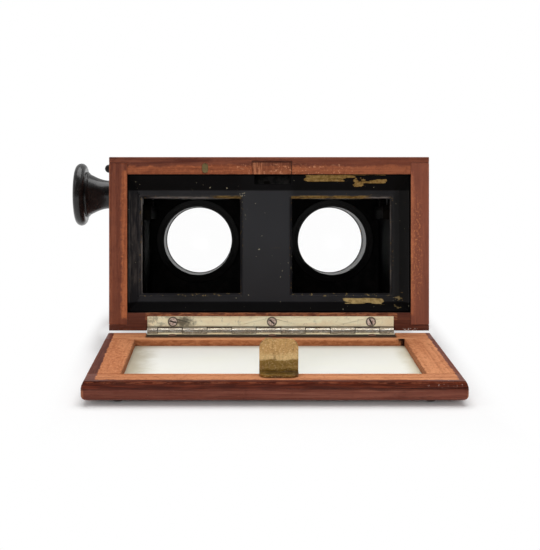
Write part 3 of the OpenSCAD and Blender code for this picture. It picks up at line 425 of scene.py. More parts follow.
def hinge_side(k, colour):
    """Bare mottled strip above the leaf of the hinge, and white chips at the right-hand lower corner."""
    n = k.noise(k.stretch(0.25, 1.0, 1.2), 1.0, 5, 0.7, 0.8)
    tint = k.mix(k.step(n, 0.40, 0.62), srgb(88, 44, 26), srgb(168, 104, 68))
    tint = k.mix(k.step(n, 0.62, 0.72), tint, srgb(62, 34, 24))
    rear = k.step(k.y, 1.5, 0.8)
    colour = k.mix(k.mul(rear, 0.45), colour, srgb(58, 26, 18))
    strip = k.mul(k.mul(rear, k.inside(k.x, -50.2, 52.0, 0.3)), k.step(k.z, 4.2, 4.6))
    colour = k.mix(k.mul(strip, 0.85), colour, tint)
    chips = k.step(k.noise(k.stretch(0.8, 0.8, 0.8, (2, 7, 7)), 1.0, 3, 0.6), 0.53, 0.58)
    low = k.mul(k.inside(k.x, 54.5, 60.5, 0.6), k.mul(k.step(k.z, 1.1, 0.6), k.step(k.y, 0.9, 0.3)))
    return k.mix(k.mul(low, chips), colour, srgb(236, 226, 216))


def faded(k, colour):
    """Paler, pinker lacquer with rubbed orange flecks towards the opening."""
    rear = k.step(k.y, 2.5, 1.0)
    colour = k.mix(k.mul(rear, 0.3), colour, srgb(160, 96, 76))
    fleck = k.step(k.noise(k.stretch(1.3, 1.3, 0.9, (3, 3, 8)), 1.0, 4, 0.7), 0.52, 0.60)
    side = k.mul(k.mul(rear, k.step(k.x, 63.4, 60.5)), k.inside(k.z, 14.0, 52.0, 10.0))
    return k.mix(k.mul(k.mul(fleck, side), 0.6), colour, srgb(190, 120, 74))


BOX_BOARDS = (("top_board", "wood_top", "x", box_zone(3.0, 4.0), recess_marks, 0.3),
              ("bottom_board", "wood_bottom", "x", box_zone(60, 70), hinge_side, 0.25),
              ("left_side", "wood_left", "z", box_zone(4.6, 5.6), None, 0.25),
              ("right_side", "wood_right", "z", box_zone(5.6, 7.4), faded, 0.25))
for seed, (n, look, grain, zone, stains_and_shade, arris) in enumerate(BOX_BOARDS, 1):
    dress(n, wooden(look, "box", grain, seed, zone, box_black, stains_and_shade=stains_and_shade), arris, flat=True)


def hinge_rail_shade_and_marks(k, colour):
    """A dark strip along the leaf of the hinge, painted light on the strip beside it where the box shades it,
    the shaded wall towards the glass, and painted shadow in the right-hand inner corner of the opening.
    """
    ragged = k.ragged(1.6, k.stretch(0.3, 0.6, 0.6), 1.0, 5, 0.7)
    along = k.inside(k.x, HINGE_LEFT - 0.2, HINGE_RIGHT + 0.2, 0.5)
    line = k.mul(k.mul(along, k.step(k.add(k.u, ragged), 9.2, 8.2)), k.step(k.z, 6.8, 7.6))
    # painted light: a lighter strip of the rail beside the leaf, where the box shades it
    bright = k.mul(k.mul(k.step(k.u, 8.2, 9.0), k.step(k.z, 8.1, 8.4)), k.inside(k.x, -56.0, 58.0, 3.0))
    colour = k.mix(k.mul(bright, 0.6), colour, srgb(222, 158, 112))
    colour = k.mix(k.mul(line, 0.93), colour, srgb(42, 20, 10))
    wall = k.mul(k.step(k.z, 8.1, 7.4), k.step(k.u, OPENING_NEAR - 0.3, OPENING_NEAR - 0.1))
    mottle = k.step(k.noise(k.stretch(0.3, 0.6, 0.8, (3, 1, 1)), 1.0, 5, 0.7, 0.8), 0.42, 0.6)
    tint = k.mix(mottle, srgb(132, 74, 42), srgb(176, 112, 72))
    colour = k.mix(k.mul(wall, 0.75), colour, tint)
    # painted shadow in the right-hand inner corner of the opening, against this rail
    corner_shadow_edge = k.ragged(6.0, k.stretch(0.7, 0.7, 0.7, (3, 3, 3)), 1.0, 4, 0.7)
    corner_shadow = k.mul(k.step(k.add(k.add(k.x, corner_shadow_edge), k.mul(k.z, 0.5)), 54.0, 56.0), k.step(k.u, 10.2, 10.8))
    corner_shadow = k.mul(corner_shadow, k.mul(k.step(k.x, OPENING_HALF + 0.3, OPENING_HALF - 0.1), k.step(k.z, 2.5, 3.5)))
    return k.mix(corner_shadow, colour, srgb(34, 14, 8))


def near_band(k, colour):
    """The rounded upper arris of the free edge is painted darker and redder than the flat face below, as
    painted shade; pale chips of worn lacquer along its top also stand in for its highlight, and pale dust
    lies in the right-hand corner.
    """
    n = k.ragged(1.4, k.stretch(0.1, 0.4, 0.8), 1.0, 4, 0.65)
    # painted shade: the rounded upper arris darker and redder than the flat face below
    band = k.mul(k.step(k.add(k.z, n), 5.1, 5.9), k.step(k.u, 70.6, 71.0))
    streak = k.step(k.noise(k.stretch(0.09, 0.5, 1.8, (2, 2, 2)), 1.0, 4, 0.65), 0.42, 0.66)
    colour = k.mix(k.mul(band, 0.85), colour, k.mix(streak, srgb(50, 12, 4), srgb(96, 38, 18)))
    k.link(k.fade(k.step(k.z, 7.7, 8.2), 0.14, 0.08), k.bsdf.inputs["Specular IOR Level"])
    # pale chips along the top arris: worn lacquer that also stands in as a painted highlight of the arris
    rim = k.mul(k.inside(k.add(k.z, k.mul(n, 0.3)), 7.7, 8.35, 0.15), k.step(k.u, 71.0, 71.3))
    chips = k.step(k.noise(k.stretch(0.35, 1.0, 1.0, (8, 1, 2)), 1.0, 5, 0.7), 0.47, 0.58)
    colour = k.mix(k.mul(k.mul(rim, chips), 0.45), colour, srgb(150, 84, 58))
    dust = k.step(k.noise(k.stretch(1.5, 1.5, 1.5, (5, 5, 1)), 1.0, 2, 0.5), 0.68, 0.72)
    corner = k.mul(k.step(k.x, 48.0, 56.0), k.mul(k.step(k.u, 68.0, 69.5), k.step(k.z, 6.0, 7.0)))
    return k.mix(k.mul(k.mul(dust, corner), 0.8), colour, srgb(214, 180, 166))


def stile_edge(k, colour):
    """Brown putty along the sight edge of the stiles, and pale dust in the worn outer margin."""
    ragged = k.ragged(3.0, k.stretch(0.5, 0.35, 0.5, (1, 3, 3)), 1.0, 5, 0.7)
    top = k.step(k.z, 7.9, 8.3)
    edge = k.step(k.add(k.abs(k.x), ragged), OPENING_HALF + 0.7, OPENING_HALF + 0.1)
    colour = k.mix(k.mul(edge, 0.45), colour, srgb(112, 58, 32))
    joint = k.high(k.inside(k.u, OPENING_NEAR - 0.35, OPENING_NEAR + 0.05, 0.12),
                   k.inside(k.u, OPENING_FAR - 0.2, OPENING_FAR + 0.15, 0.12))
    colour = k.mix(k.mul(k.mul(joint, top), 0.55), colour, srgb(104, 52, 30))
    dust = k.step(k.noise(k.stretch(1.8, 1.0, 1.8, (9, 5, 1)), 1.0, 3, 0.6), 0.60, 0.68)
    margin = k.mul(top, k.step(k.x, 61.5, 63.0))
    return k.mix(k.mul(k.mul(dust, margin), 0.5), colour, srgb(178, 140, 130))


FAR_RAIL = wooden("door_rail_far", "door", "x", 5, door_zone, stains_and_shade=hinge_rail_shade_and_marks, coat=0.0, gloss=0.1)
dress("door_hinge_rail", FAR_RAIL, 0.2)
NEAR_RAIL = wooden("door_rail_near", "door", "x", 6, door_zone, stains_and_shade=near_band, gloss=0.18)
dress("door_free_rail", NEAR_RAIL, 0.2)
for n, seed, rubbed in (("door_left_stile", 7, 0.9), ("door_right_stile", 8, 0.8)):
    stile = wooden(n + "_wood", "door", "y", seed, door_zone, stains_and_shade=stile_edge, rubbed=rubbed, coat=0.0,
                   gloss=0.08, shine=0.5)
    dress(n, stile, 0.2)
dress("glazing_beads", wooden("door_beads", "door", "x", 9, always(0.8)), 0.2)


def dull_black(name, level=0.0045):
    """Matt black paint, level is its brightness."""
    k = Look(name, "box", IOR=1.45, Specular_IOR_Level=0.1)
    n = k.noise(k.p, 0.5, 6, 0.65)
    deep, warm = (level / 3, level / 3, level / 3, 1), (level, level * 0.92, level * 0.85, 1)
    colour = k.mix(k.step(n, 0.35, 0.7), deep, warm)
    return k.finish(colour, k.add(0.65, k.mul(n, 0.25)), k.noise(k.p, 2.5, 4, 0.6), 0.4, 0.0001)


BLACK = dull_black("matt_black")
for n in ("septum", "mask_ledge_bottom", "runner_left", "runner_right", "cheek_left", "cheek_right"):
    dress(n, BLACK, 0.2)
# paler black on the top ledge: painted light that lifts the shade inside the box above the mask
dress("mask_ledge_top", dull_black("black_lightened_for_shade", 0.04), 0.2)


def board_black(k):
    """Black paint on the lens board, all but its front."""
    return k.step(k.y, BOARD_FRONT - 0.3, BOARD_FRONT - 0.6)


dress("lens_board", wooden("wood_lens_board", "box", "x", 10, always(1.0), board_black), 0.2)


# Pressed mask: black lacquer on brass
def mask_look():
    """Black lacquer on brass, dusty on its left slope, chipped at the windows and bare in places above, with
    a painted reflection in the middle, painted shade on the slopes and painted highlights on the window rims.
    """
    k = Look("mask_lacquer", "box", IOR=1.5, Specular_IOR_Level=0.3)
    cloud = k.noise(k.stretch(0.03, 0.1, 0.03), 1.0, 3, 0.5)
    colour = k.mix(k.step(cloud, 0.35, 0.65), srgb(24, 23, 24), srgb(32, 31, 34))
    # a paler middle panel: painted reflection of the bright glass and floor below
    colour = k.mix(k.mul(k.step(k.z, 14, 40), k.inside(k.x, -11.5, 9.5, 2.0)), colour, srgb(38, 38, 41))
    # the sloping top and bottom and the wall of the seat are duller, and painted darker as the shade that
    # falls on them
    deep = k.high(k.step(k.z, 56.6, 57.4), k.step(k.z, 11.6, 10.8))
    colour = k.mix(k.mul(deep, 0.85), colour, srgb(7, 6, 6))
    # dust in upright streaks on the left slope
    dust = k.noise(k.stretch(1.1, 1.0, 0.16, (1, 5, 2)), 1.0, 6, 0.7)
    colour = k.mix(k.mul(k.step(k.x, 50.8, 53.0), 0.7), colour, srgb(9, 8, 7))
    band = k.mul(k.step(k.x, -51.5, -53.0), k.inside(k.z, 16.0, 55.0, 2.5))
    colour = k.mix(k.mul(k.step(dust, 0.42, 0.7), k.mul(band, 0.9)), colour, srgb(80, 73, 70))
    # chipped rims of the windows
    rx = k.abs(k.sub(k.abs(k.sub(k.x, WINDOW_OFFSET)), WINDOW_PITCH / 2))
    rz = k.abs(k.sub(k.z, WINDOW_LIFT))
    rim_x, rim_z = 20.9, 20.2
    rim = k.high(k.sub(rx, rim_x), k.sub(rz, rim_z))
    at_rim = k.step(k.abs(rim), 0.75, 0.25)
    chips = k.step(k.noise(k.stretch(0.55, 0.5, 0.55, (7, 3, 1)), 1.0, 4, 0.75), 0.60, 0.63)
    low_rim = k.step(k.z, 15.2, 14.2)
    chips = k.mul(chips, k.add(0.55, k.mul(0.45, low_rim)))
    worn = k.mul(at_rim, chips)
    # upper rims: a painted grey highlight, mostly on the left window, and rubbed to the metal along the right
    # one
    rub = k.inside(k.z, 53.6, 54.9, 0.2)
    run = k.add(k.x, k.ragged(5.0, k.p, 0.25, 4, 0.7))
    broken = k.step(k.noise(k.stretch(0.3, 1, 1.6, (4, 4, 9)), 1.0, 4, 0.7), 0.36, 0.5)
    places = k.high(k.inside(run, 9.0, 41.0, 2.0), k.mul(k.inside(run, -22.0, -11.0, 2.0), 0.6))
    worn = k.high(worn, k.mul(k.mul(rub, broken), k.mul(k.step(rx, rim_x, rim_x - 0.4), places)))
    grey = k.mul(k.mul(k.inside(k.z, 53.9, 54.5, 0.25), broken),
                 k.high(k.inside(run, -48.0, -24.0, 3.0), k.inside(run, 38.0, 50.0, 2.0)))
    # painted highlights as thin, patchy grey lines along the upright rims
    upright = k.high(k.step(k.x, -51.0, -52.0), k.mul(k.step(k.x, 49.5, 50.0), 0.4))
    lines = k.mul(k.inside(rx, rim_x - 0.7, rim_x - 0.15, 0.15),
                  k.mul(k.inside(k.z, 14.5, 54.0, 1.0), upright))
    patchy = k.step(k.noise(k.stretch(1.0, 1.0, 0.1, (3, 2, 1)), 1.0, 4, 0.7), 0.40, 0.6)
    grey = k.high(grey, k.mul(lines, patchy))

    # paint loss on the slopes, with ragged ends along X: islands inside a soft window
    def loss(x0, x1, z0, z1, seed, limit, sx=0.10, sz=0.75):
        field = k.noise(k.stretch(sx, 0.2, sz, (seed, seed * 1.7, seed * 0.6)), 1.0, 4, 0.6)
        zone = k.mul(k.inside(k.x, x0, x1, 2.0), k.inside(k.z, z0, z1, 0.45))
        return k.step(k.mul(field, zone), limit, limit + 0.02)
    bare = k.high(loss(14, 32, 60.6, 63.5, 2.3, 0.35), loss(37, 49, 59.8, 61.9, 5.1, 0.43),
                  loss(11, 49, 63.0, 63.7, 4.4, 0.40, 0.06),
                  loss(30, 48, 10.2, 12.8, 8.4, 0.40), loss(34, 40, 58.2, 62.6, 3.3, 0.46, 0.5),
                  loss(30, 37, 62.0, 63.4, 6.1, 0.42))
    bare = k.high(bare, k.mul(loss(50, 56.5, 7.5, 15.5, 9.9, 0.56, 0.3), 0.35))
    flecks = k.step(k.noise(k.stretch(0.9, 0.5, 0.9, (2, 9, 4)), 1.0, 2, 0.5), 0.75, 0.765)
    cluster = k.mul(k.inside(k.x, -13.5, -9.5, 1.0), k.inside(k.z, 47.0, 57.5, 2.0))
    dots = k.step(k.noise(k.stretch(1.0, 1, 0.7, (1, 1, 7)), 1.0, 2, 0.5), 0.66, 0.69)
    flecks = k.high(flecks, k.mul(cluster, dots))
    scratch = k.step(k.noise(k.stretch(0.12, 0.5, 2.2, (4, 1, 8)), 1.0, 3, 0.6, 1.2), 0.725, 0.74)
    bare = k.high(bare, k.mul(scratch, k.step(k.x, 0, 10)))
    stain = k.noise(k.p, 0.7, 4, 0.6)
    brass = k.mix(k.step(stain, 0.3, 0.7), srgb(112, 84, 42), srgb(162, 132, 80))
    low = k.step(k.z, 16.0, 14.0)
    brass = k.mix(low, brass, k.mix(k.step(stain, 0.3, 0.7), srgb(150, 126, 80), srgb(196, 170, 116)))
    show = k.high(bare, worn)
    colour = k.mix(k.mul(grey, 0.85), colour, srgb(128, 121, 117))
    colour = k.mix(k.mul(flecks, 0.75), k.mix(show, colour, brass), srgb(170, 162, 136))
    rough = k.fade(show, k.add(0.36, k.add(k.mul(deep, 0.3), k.ragged(0.2, k.p, 0.5, 5, 0.6))), 0.5)
    k.link(k.fade(k.high(deep, show), 0.3, 0.06), k.bsdf.inputs["Specular IOR Level"])
    height = k.sub(k.add(k.mul(k.noise(k.p, 0.09, 3, 0.5), 1.6), k.mul(k.noise(k.p, 1.8, 4, 0.6), 0.25)),
                   k.mul(show, 0.35))
    return k.finish(colour, rough, height, 0.3, 0.0002, metal=k.mul(show, 0.35))


dress("slide_mask", mask_look(), 0.35, 20, 4)


# Metals
def metal(name, light, dark, rough=0.35, stain=0.5, speck=0.5, metallic=1.0, gloss=0.5):
    """Tarnished metal: clouded tone, fine scratches and dark specks."""
    k = Look(name, "box", Metallic=metallic, Specular_IOR_Level=gloss)
    cloud = k.noise(k.stretch(0.05, 0.16, 0.16), 1.0, 5, 0.62, 0.6)
    colour = k.mix(k.mul(k.step(cloud, 0.42, 0.74), stain), light, dark)
    dots = k.step(k.noise(k.stretch(1.1, 1.1, 1.1), 1.0, 3, 0.6), 0.63, 0.70)
    colour = k.mix(k.mul(dots, speck), colour, [v * 0.35 for v in dark[:3]] + [1.0])
    hair = k.noise(k.stretch(0.35, 2.6, 2.6), 1.0, 3, 0.6, 0.3)
    r = k.add(rough, k.add(k.mul(k.sub(cloud, 0.5), 0.35), k.mul(dots, 0.25)))
    height = k.sub(k.add(k.mul(hair, 0.5), k.mul(cloud, 0.6)), k.mul(dots, 0.8))
    return k.finish(colour, r, height, 0.25, 0.0001)


def hinge_look(name, place):
    """Worn nickel over brass, with grime at the screws and along the joints of the knuckles, painted shade in
    the crease above the barrel of the box leaf, and a darker flat plate on the door leaf.
    """
    k = Look(name, place, Specular_IOR_Level=0.3)
    cloud = k.noise(k.stretch(0.07, 0.3, 0.3), 1.0, 5, 0.65, 0.8)
    colour = k.mix(k.step(cloud, 0.35, 0.62), srgb(255, 246, 212), srgb(246, 228, 190))
    fine = k.noise(k.stretch(0.5, 1.2, 1.2), 1.0, 5, 0.7)
    colour = k.mix(k.mul(k.step(fine, 0.58, 0.74), 0.3), colour, srgb(160, 138, 104))
    dots = k.step(k.noise(k.stretch(1.5, 1.5, 1.5, (3, 8, 2)), 1.0, 3, 0.6), 0.665, 0.71)
    colour = k.mix(k.mul(dots, 0.7), colour, srgb(60, 48, 36))
    grime_and_shade = k.mul(k.step(k.noise(k.p, 0.45, 4, 0.7), 0.54, 0.70), 0.3)
    if place == "box":
        for sx, amount in zip(SCREWS, (0.95, 0.9, 0.9)):
            d = k.length(k.sub(k.x, sx), k.sub(k.z, SCREW_LIFT))
            grime_and_shade = k.high(grime_and_shade, k.mul(k.step(k.abs(k.sub(d, HEAD_RADIUS + 0.1)), 0.42, 0.1), amount))
        # dark tarnish to the right of the left-hand screw
        ragged = k.ragged(5.5, k.p, 0.5, 5, 0.7)
        d = k.length(k.mul(k.add(k.x, 34.6), 0.5), k.sub(k.z, 3.4))
        grime_and_shade = k.high(grime_and_shade, k.mul(k.step(k.add(d, ragged), 3.2, 0.8), 0.85))
        left = k.mul(k.step(k.x, -30.0, -44.0), k.step(k.noise(k.p, 0.3, 5, 0.7), 0.42, 0.6))
        grime_and_shade = k.high(grime_and_shade, k.mul(left, 0.5))
        # painted shade in the crease between the box leaf and its barrel
        crease_shade = k.step(k.abs(k.sub(k.z, 1.5)), 0.5, 0.15)
        grime_and_shade = k.high(grime_and_shade, k.mul(crease_shade, 0.8))
        tube = k.step(k.z, 1.35, 1.15)
    else:
        tube = k.step(k.z, 8.7, 8.9)
        ragged = k.ragged(1.4, k.stretch(0.4, 0.4, 0.4), 1.0, 5, 0.7)
        plate = k.fade(k.step(k.add(k.u, ragged), 2.9, 3.5), 0.15, 0.98)
        grime_and_shade = k.high(grime_and_shade, k.mul(k.sub(1.0, tube), plate))
    phase = k.math("FRACT", k.mul(k.sub(k.x, HINGE_LEFT + END_KNUCKLE), 1 / KNUCKLE))
    joint = k.step(k.abs(k.sub(phase, 0.5)), 0.478, 0.494)
    grime_and_shade = k.high(grime_and_shade, k.mul(k.mul(joint, tube), 0.95))
    worn = k.mix(k.step(fine, 0.40, 0.66), srgb(204, 191, 172), srgb(164, 151, 132))
    shreds = k.step(k.noise(k.stretch(0.28, 2.0, 2.0, (5, 1, 6)), 1.0, 4, 0.7), 0.51, 0.60)
    worn = k.mix(k.mul(shreds, 0.65), worn, srgb(255, 252, 244))
    colour = k.mix(tube, colour, worn)
    colour = k.mix(grime_and_shade, colour, srgb(48, 36, 28))
    rough = k.add(k.fade(tube, 0.42, 0.25), k.add(k.mul(k.sub(fine, 0.5), 0.4), k.mul(grime_and_shade, 0.45)))
    height = k.sub(k.add(k.mul(k.noise(k.stretch(0.3, 3, 3), 1.0, 3, 0.6), 0.3), k.mul(cloud, 0.9)),
                   k.add(k.mul(dots, 0.8), k.mul(grime_and_shade, 0.4)))
    bright = k.mul(k.fade(tube, 0.3, 0.7), k.sub(1.0, k.mul(grime_and_shade, 0.8)))
    return k.finish(colour, rough, height, 0.3, 0.00012, metal=bright)


dress("hinge_body_leaf", hinge_look("hinge_nickel_box", "box"), 0.12)
dress("hinge_door_leaf", hinge_look("hinge_nickel_door", "door"), 0.12)
dress("hinge_pin", metal("pin_steel", srgb(150, 140, 122), srgb(74, 62, 48), rough=0.4))


def slotted():
    """Pale heads of the leaf screws, with painted shade and dirt in their slots and dirt round their rims."""
    k = Look("leaf_screws", "box", Metallic=0.35)
    n = k.noise(k.p, 1.3, 4, 0.65)
    colour = k.mix(k.step(n, 0.4, 0.62), srgb(232, 210, 196), srgb(150, 122, 108))
    slot_shade_and_dirt = 0.0
    for sx, turn in zip(SCREWS, (15, 40, 65)):
        dx, dz = k.sub(k.x, sx), k.sub(k.z, SCREW_LIFT)
        near = k.step(k.abs(dx), 3.2, 3.0)
        a = math.radians(turn)
        # painted shade, with dirt, in the slot
        slot = k.step(k.abs(k.add(k.mul(dx, math.sin(a)), k.mul(dz, math.cos(a)))), 0.42, 0.24)
        d = k.length(dx, dz)
        slot_shade_and_dirt = k.high(slot_shade_and_dirt, k.mul(near, k.high(slot, k.step(d, HEAD_RADIUS - 0.25, HEAD_RADIUS + 0.05))))
    colour = k.mix(k.mul(slot_shade_and_dirt, 0.92), colour, srgb(44, 30, 26))
    return k.finish(colour, k.add(0.38, k.mul(slot_shade_and_dirt, 0.3)), k.sub(n, slot_shade_and_dirt), 0.3, 0.0001)


dress("hinge_body_screws", slotted(), 0.05)
COPPER = metal("tarnished_screws", srgb(124, 84, 66), srgb(74, 46, 36), rough=0.5, speck=0.6, metallic=0.4)
dress("hinge_door_screws", COPPER, 0.08)
HEADS = metal("tongue_screw_heads", srgb(118, 96, 50), srgb(70, 54, 26), rough=0.5, metallic=0.5)
dress("tongue_screws", HEADS)
dress("knob_screw", COPPER, 0.08)
BRONZE = metal("pin_bronze", srgb(116, 100, 62), srgb(70, 58, 36), rough=0.5, speck=0.6, metallic=0.4)
dress("latch_guide_pin", BRONZE, 0.1)
BRASS = metal("aged_brass", srgb(182, 146, 82), srgb(104, 76, 38), rough=0.36)
dress("bush_left", BRASS, 0.08)
OILED = metal("blackened_brass", srgb(16, 13, 10), srgb(7, 6, 5), rough=0.75, stain=0.8, metallic=0.0,
              gloss=0.1)
for n in ("bush_right", "pinion_left", "pinion_right", "rack_left", "rack_right"):
    dress(n, OILED, 0.08)
for n in ("latch_bar", "latch_catch"):
    dress(n, OILED, 0.1)
STEEL = metal("grey_steel", srgb(92, 90, 88), srgb(40, 38, 36), rough=0.45)
dress("pinion_shaft", STEEL, 0.1)


def return_spring(turns=7, steps=20, sides=8):
    """Wound wire in place of the plain sleeve in the CAD."""
    lo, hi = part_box("latch_spring")
    mid, outer, length = (lo + hi) / 2, (hi.z - lo.z) / 2, hi.x - lo.x
    wire = 0.14 * outer
    rings = turns * steps
    verts, faces = [], []
    for i in range(rings + 1):
        turn = math.tau * i / steps
        along = lo.x + wire + (length - 2 * wire) * i / rings
        for j in range(sides):
            around = math.tau * j / sides
            r = outer - wire + wire * math.cos(around)
            x = along + wire * math.sin(around)
            verts.append((x, mid.y + r * math.cos(turn), mid.z + r * math.sin(turn)))
    for i in range(rings):
        for j in range(sides):
            a, b = i * sides + j, i * sides + (j + 1) % sides
            faces.append((a, b, b + sides, a + sides))
    faces.append(tuple(range(sides)))
    faces.append(tuple(range(rings * sides, (rings + 1) * sides)))
    me = bpy.data.meshes.new("return_spring")
    me.from_pydata(verts, [], faces)
    bm = bmesh.new()
    bm.from_mesh(me)
    bmesh.ops.recalc_face_normals(bm, faces=bm.faces)
    bm.to_mesh(me)
    bm.free()
    me.shade_smooth()
    me.materials.append(STEEL)
    o = bpy.data.objects.new("return_spring", me)
    scene.collection.objects.link(o)
    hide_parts("latch_spring")
    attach(o, "box")
    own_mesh(o)


return_spring()


def tongue_look():
    """Spring brass with brown and olive tarnish in soft level bands, darker towards the foot."""
    k = Look("tongue_brass", "door", Metallic=0.4)
    warp = k.ragged(5.0, k.stretch(0.16, 0.2, 0.3), 1.0, 4, 0.6)
    h = k.add(k.sub(k.z, DOOR_TOP), warp)
    colour = k.mix(k.step(h, 6.6, 8.4), srgb(206, 172, 116), srgb(184, 142, 84))
    colour = k.mix(k.step(h, 5.6, 4.8), colour, srgb(126, 94, 28))
    colour = k.mix(k.inside(h, 2.0, 3.0, 0.5), colour, srgb(156, 122, 60))
    colour = k.mix(k.step(h, 1.6, 0.4), colour, srgb(84, 60, 30))
    streak = k.noise(k.stretch(0.9, 0.5, 0.25), 1.0, 5, 0.65)
    colour = k.mix(k.mul(k.step(streak, 0.48, 0.70), 0.6), colour, srgb(122, 92, 46))
    fleck = k.noise(k.stretch(1.2, 1.2, 1.6, (5, 2, 2)), 1.0, 5, 0.75)
    pale = k.mul(k.step(fleck, 0.50, 0.72), k.fade(k.step(h, 4.6, 6.6), 0.45, 0.8))
    colour = k.mix(pale, colour, srgb(236, 208, 160))
    colour = k.mix(k.mul(k.step(fleck, 0.46, 0.34), 0.55), colour, srgb(84, 62, 22))
    rough = k.add(0.38, k.mul(k.sub(streak, 0.5), 0.4))
    return k.finish(colour, rough, k.add(k.mul(fleck, 0.5), streak), 0.3, 0.00012)


dress("spring_tongue", tongue_look(), 0.15)


# Black turned parts
def black_gloss(name, axis, place="box", rough=0.24, coat=0.12, gloss=0.4):
    """Ebonised, polished wood or horn with faint turning lines round its axis and dull rubbed spots."""
    k = Look(name, place, IOR=1.5, Coat_Weight=coat, Coat_Roughness=0.12, Specular_IOR_Level=gloss)
    n = k.noise(k.p, 0.25, 5, 0.6)
    colour = k.mix(k.step(n, 0.4, 0.7), (0.006, 0.0055, 0.0055, 1), (0.014, 0.012, 0.011, 1))
    s = [0.05, 0.05, 0.05]
    s["xyz".index(axis)] = 3.0
    rings = k.noise(k.stretch(*s), 1.0, 3, 0.6)
    dull = k.step(k.noise(k.p, 0.6, 6, 0.7), 0.5, 0.75)
    height = k.add(k.mul(rings, 0.4), k.mul(n, 0.3))
    return k.finish(colour, k.add(rough, k.mul(dull, 0.1)), height, 0.12, 0.00008)


dress("knob", black_gloss("knob_black", "x"))
dress("latch_button", black_gloss("button_black", "x", rough=0.4, coat=0.0, gloss=0.15))
CUP = black_gloss("eyecup_black", "y", rough=0.26)
dress("eyecup_left", CUP)
dress("eyecup_right", CUP)


def lacquered(name, worn=0.62):
    """Black lacquer on brass tube, dull inside the box and rubbed through in specks before the board."""
    k = Look(name, "box", IOR=1.5)
    n = k.noise(k.p, 0.4, 5, 0.62)
    colour = k.mix(k.step(n, 0.35, 0.7), srgb(18, 17, 17), srgb(32, 30, 29))
    colour = k.mix(k.step(k.y, BOARD_FRONT - 0.3, BOARD_FRONT - 0.6), colour, srgb(6, 5, 5))
    bare = k.mul(k.step(k.noise(k.stretch(0.5, 0.9, 0.5, (3, 1, 6)), 1.0, 5, 0.75), worn, worn + 0.03),
                 k.step(k.y, BOARD_FRONT - 0.5, BOARD_FRONT - 0.1))
    colour = k.mix(bare, colour, srgb(158, 122, 62))
    return k.finish(colour, k.add(0.34, k.mul(n, 0.15)), k.sub(n, k.mul(bare, 0.5)), 0.3, 0.0001,
                    metal=k.mul(bare, 0.8))


LACQ = lacquered("barrel_lacquer")
for n in ("barrel", "clamp_ring", "retainer"):
    for side in ("_left", "_right"):
        dress(n + side, LACQ, 0.15)
dress("door_feet", black_gloss("stud_black", "z", "door", rough=0.4, coat=0.0))


# Glass
def frosted():
    """Ground glass, dull and darker towards the side stiles, with painted shade along the far rail."""
    k = Look("ground_glass", "door", IOR=1.5, Transmission_Weight=0.04)
    n = k.noise(k.stretch(0.03, 0.03, 0.03), 1.0, 4, 0.6, 0.4)
    colour = k.mix(k.step(n, 0.35, 0.7), srgb(255, 255, 248), srgb(254, 254, 243))
    ragged = k.ragged(9.0, k.stretch(0.12, 0.12, 0.1, (4, 4, 4)), 1.0, 5, 0.65)
    left = k.step(k.add(k.x, ragged), -41.0, -53.0)
    right = k.step(k.add(k.x, k.mul(ragged, 0.6)), 47.0, 53.5)
    colour = k.mix(k.mul(left, 0.75), colour, srgb(172, 160, 124))
    colour = k.mix(k.mul(right, 0.6), colour, srgb(188, 178, 134))
    # painted shade on the glass along the far rail
    far = k.step(k.u, 17.0, 11.0)
    colour = k.mix(k.mul(far, 0.55), colour, srgb(150, 134, 108))
    spots = k.step(k.noise(k.stretch(0.7, 0.7, 0.7, (8, 2, 5)), 1.0, 3, 0.6), 0.72, 0.75)
    colour = k.mix(k.mul(spots, 0.3), colour, srgb(186, 180, 150))
    return k.finish(colour, k.add(0.42, k.mul(n, 0.15)), k.noise(k.p, 6.0, 2, 0.5), 0.15, 0.00003)


dress("ground_glass", frosted(), 0.1)


def clear_glass():
    """Clear lens glass with a trace of haze."""
    k = Look("lens_glass", "box", IOR=1.5, Transmission_Weight=1.0, Roughness=0.0,
             Specular_Tint=(0.2, 0.2, 0.2, 1))
    haze = k.noise(k.p, 0.35, 4, 0.6)
    return k.finish((1, 1, 1, 1), k.mul(k.step(haze, 0.7, 0.9), 0.01))


GLASS = clear_glass()
dress("lens_left", GLASS)
dress("lens_right", GLASS)


# Floor, light, camera
def stage_plane():
    """White paper: plain where it carries the shadow, and lit by itself for the eye further out."""
    reach = 4.0
    corners = [(-reach, -reach, 0), (reach, -reach, 0), (reach, reach, 0), (-reach, reach, 0)]
    me = bpy.data.meshes.new("floor")
    me.from_pydata(corners, [], [(0, 1, 2, 3)])
    o = bpy.data.objects.new("floor", me)
    scene.collection.objects.link(o)
    o.location.z = -0.00002
    mat = bpy.data.materials.new("floor_paper")
    k = Nodes(mat)
    x, y, _ = k.split(k.node("TexCoord").outputs["Object"])
    # metres outside the object on the floor: the shadow ends sooner beside it than before and behind it
    half_depth, sooner = 0.088, 3.5
    beside = k.mul(k.sub(k.abs(k.sub(x, AXIS.x / 1000)), DOOR_HALF / 1000), sooner)
    outside = k.high(beside, k.sub(k.abs(y), half_depth))
    far = k.ramp(outside, 0.006, 0.05, 0.0, 1.0)
    # painted light: the paper under the tilted box glows for the eye and in reflections, where the box's
    # shadow falls
    gap_middle, gap_half = 0.024, 0.026
    glow_under_box = k.ramp(k.abs(k.sub(y, gap_middle)), 0.0, gap_half, 0.6, 0.0)
    path = k.node("LightPath").outputs
    seen = k.high(path["Is Camera Ray"], path["Is Transmission Ray"], path["Is Glossy Ray"])
    paper = k.node("BsdfDiffuse")
    paper.inputs["Color"].default_value = (0.93, 0.93, 0.93, 1)
    glow = k.node("Emission")
    surface = k.blend(k.mul(seen, k.high(far, glow_under_box)), paper.outputs[0], glow.outputs[0])
    k.link(surface, k.node("OutputMaterial").inputs[0])
    me.materials.append(mat)


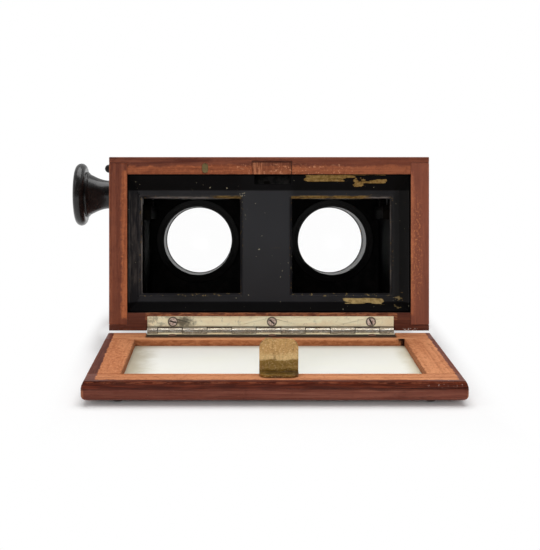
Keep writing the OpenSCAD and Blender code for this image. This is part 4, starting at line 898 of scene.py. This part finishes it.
def lamp(name, where, size, power, aim=(0, 0, 0.035)):
    """Rectangular soft lamp that points at the middle of the object."""
    d = bpy.data.lights.new(name, "AREA")
    d.shape = "RECTANGLE"
    d.size, d.size_y = size
    d.energy = power
    o = bpy.data.objects.new(name, d)
    scene.collection.objects.link(o)
    o.location = where
    o.rotation_euler = (Vector(aim) - Vector(where)).to_track_quat("-Z", "Y").to_euler()
    return o


def studio():
    """White for the eye, and for shiny surfaces a white sweep on the far side and a dim room on the near."""
    world = bpy.data.worlds.new("studio")
    scene.world = world
    k = Nodes(world)

    def white(strength):
        n = k.node("Background")
        k.link((1, 1, 1, 1), n.inputs["Color"])
        k.link(strength, n.inputs["Strength"])
        return n.outputs[0]
    path = k.node("LightPath").outputs
    _, ahead, _ = k.split(k.node("TexCoord").outputs["Generated"])
    room = k.ramp(ahead, -0.7, 0.35, 0.05, 0.6)
    lit = k.blend(path["Is Glossy Ray"], white(0.38), white(room))
    seen = k.high(path["Is Camera Ray"], path["Is Transmission Ray"])
    k.link(k.blend(seen, lit, white(1.0)), k.node("OutputWorld").inputs[0])


def camera():
    """Eye in mm in the box frame, looking along it. Focal length and shift are in the photograph's pixels."""
    eye, focal, shift_x, shift_y = (-11.8, -434, 46.55), 1069, 30, -59
    long_side, sensor = 550, 36
    cam = bpy.data.cameras.new("camera")
    cam.sensor_width = sensor
    cam.lens = sensor * focal / long_side
    cam.shift_x = shift_x / long_side
    cam.shift_y = shift_y / long_side
    cam.clip_start = 0.01
    o = bpy.data.objects.new("camera", cam)
    scene.collection.objects.link(o)
    scene.camera = o
    o.location = from_box(*eye)
    o.rotation_euler = (math.pi / 2 - LEAN, 0, 0)


stage_plane()
lamp("top_softbox", (0.05, 0.18, 1.0), (1.0, 0.8), 7.6)
lamp("front_softbox", (-0.25, -1.15, 0.36), (0.8, 0.4), 5.6).visible_glossy = False
lamp("left_softbox", (-1.0, -0.2, 0.5), (0.3, 0.6), 0.8)
studio()
camera()

scene.view_settings.view_transform = "Standard"
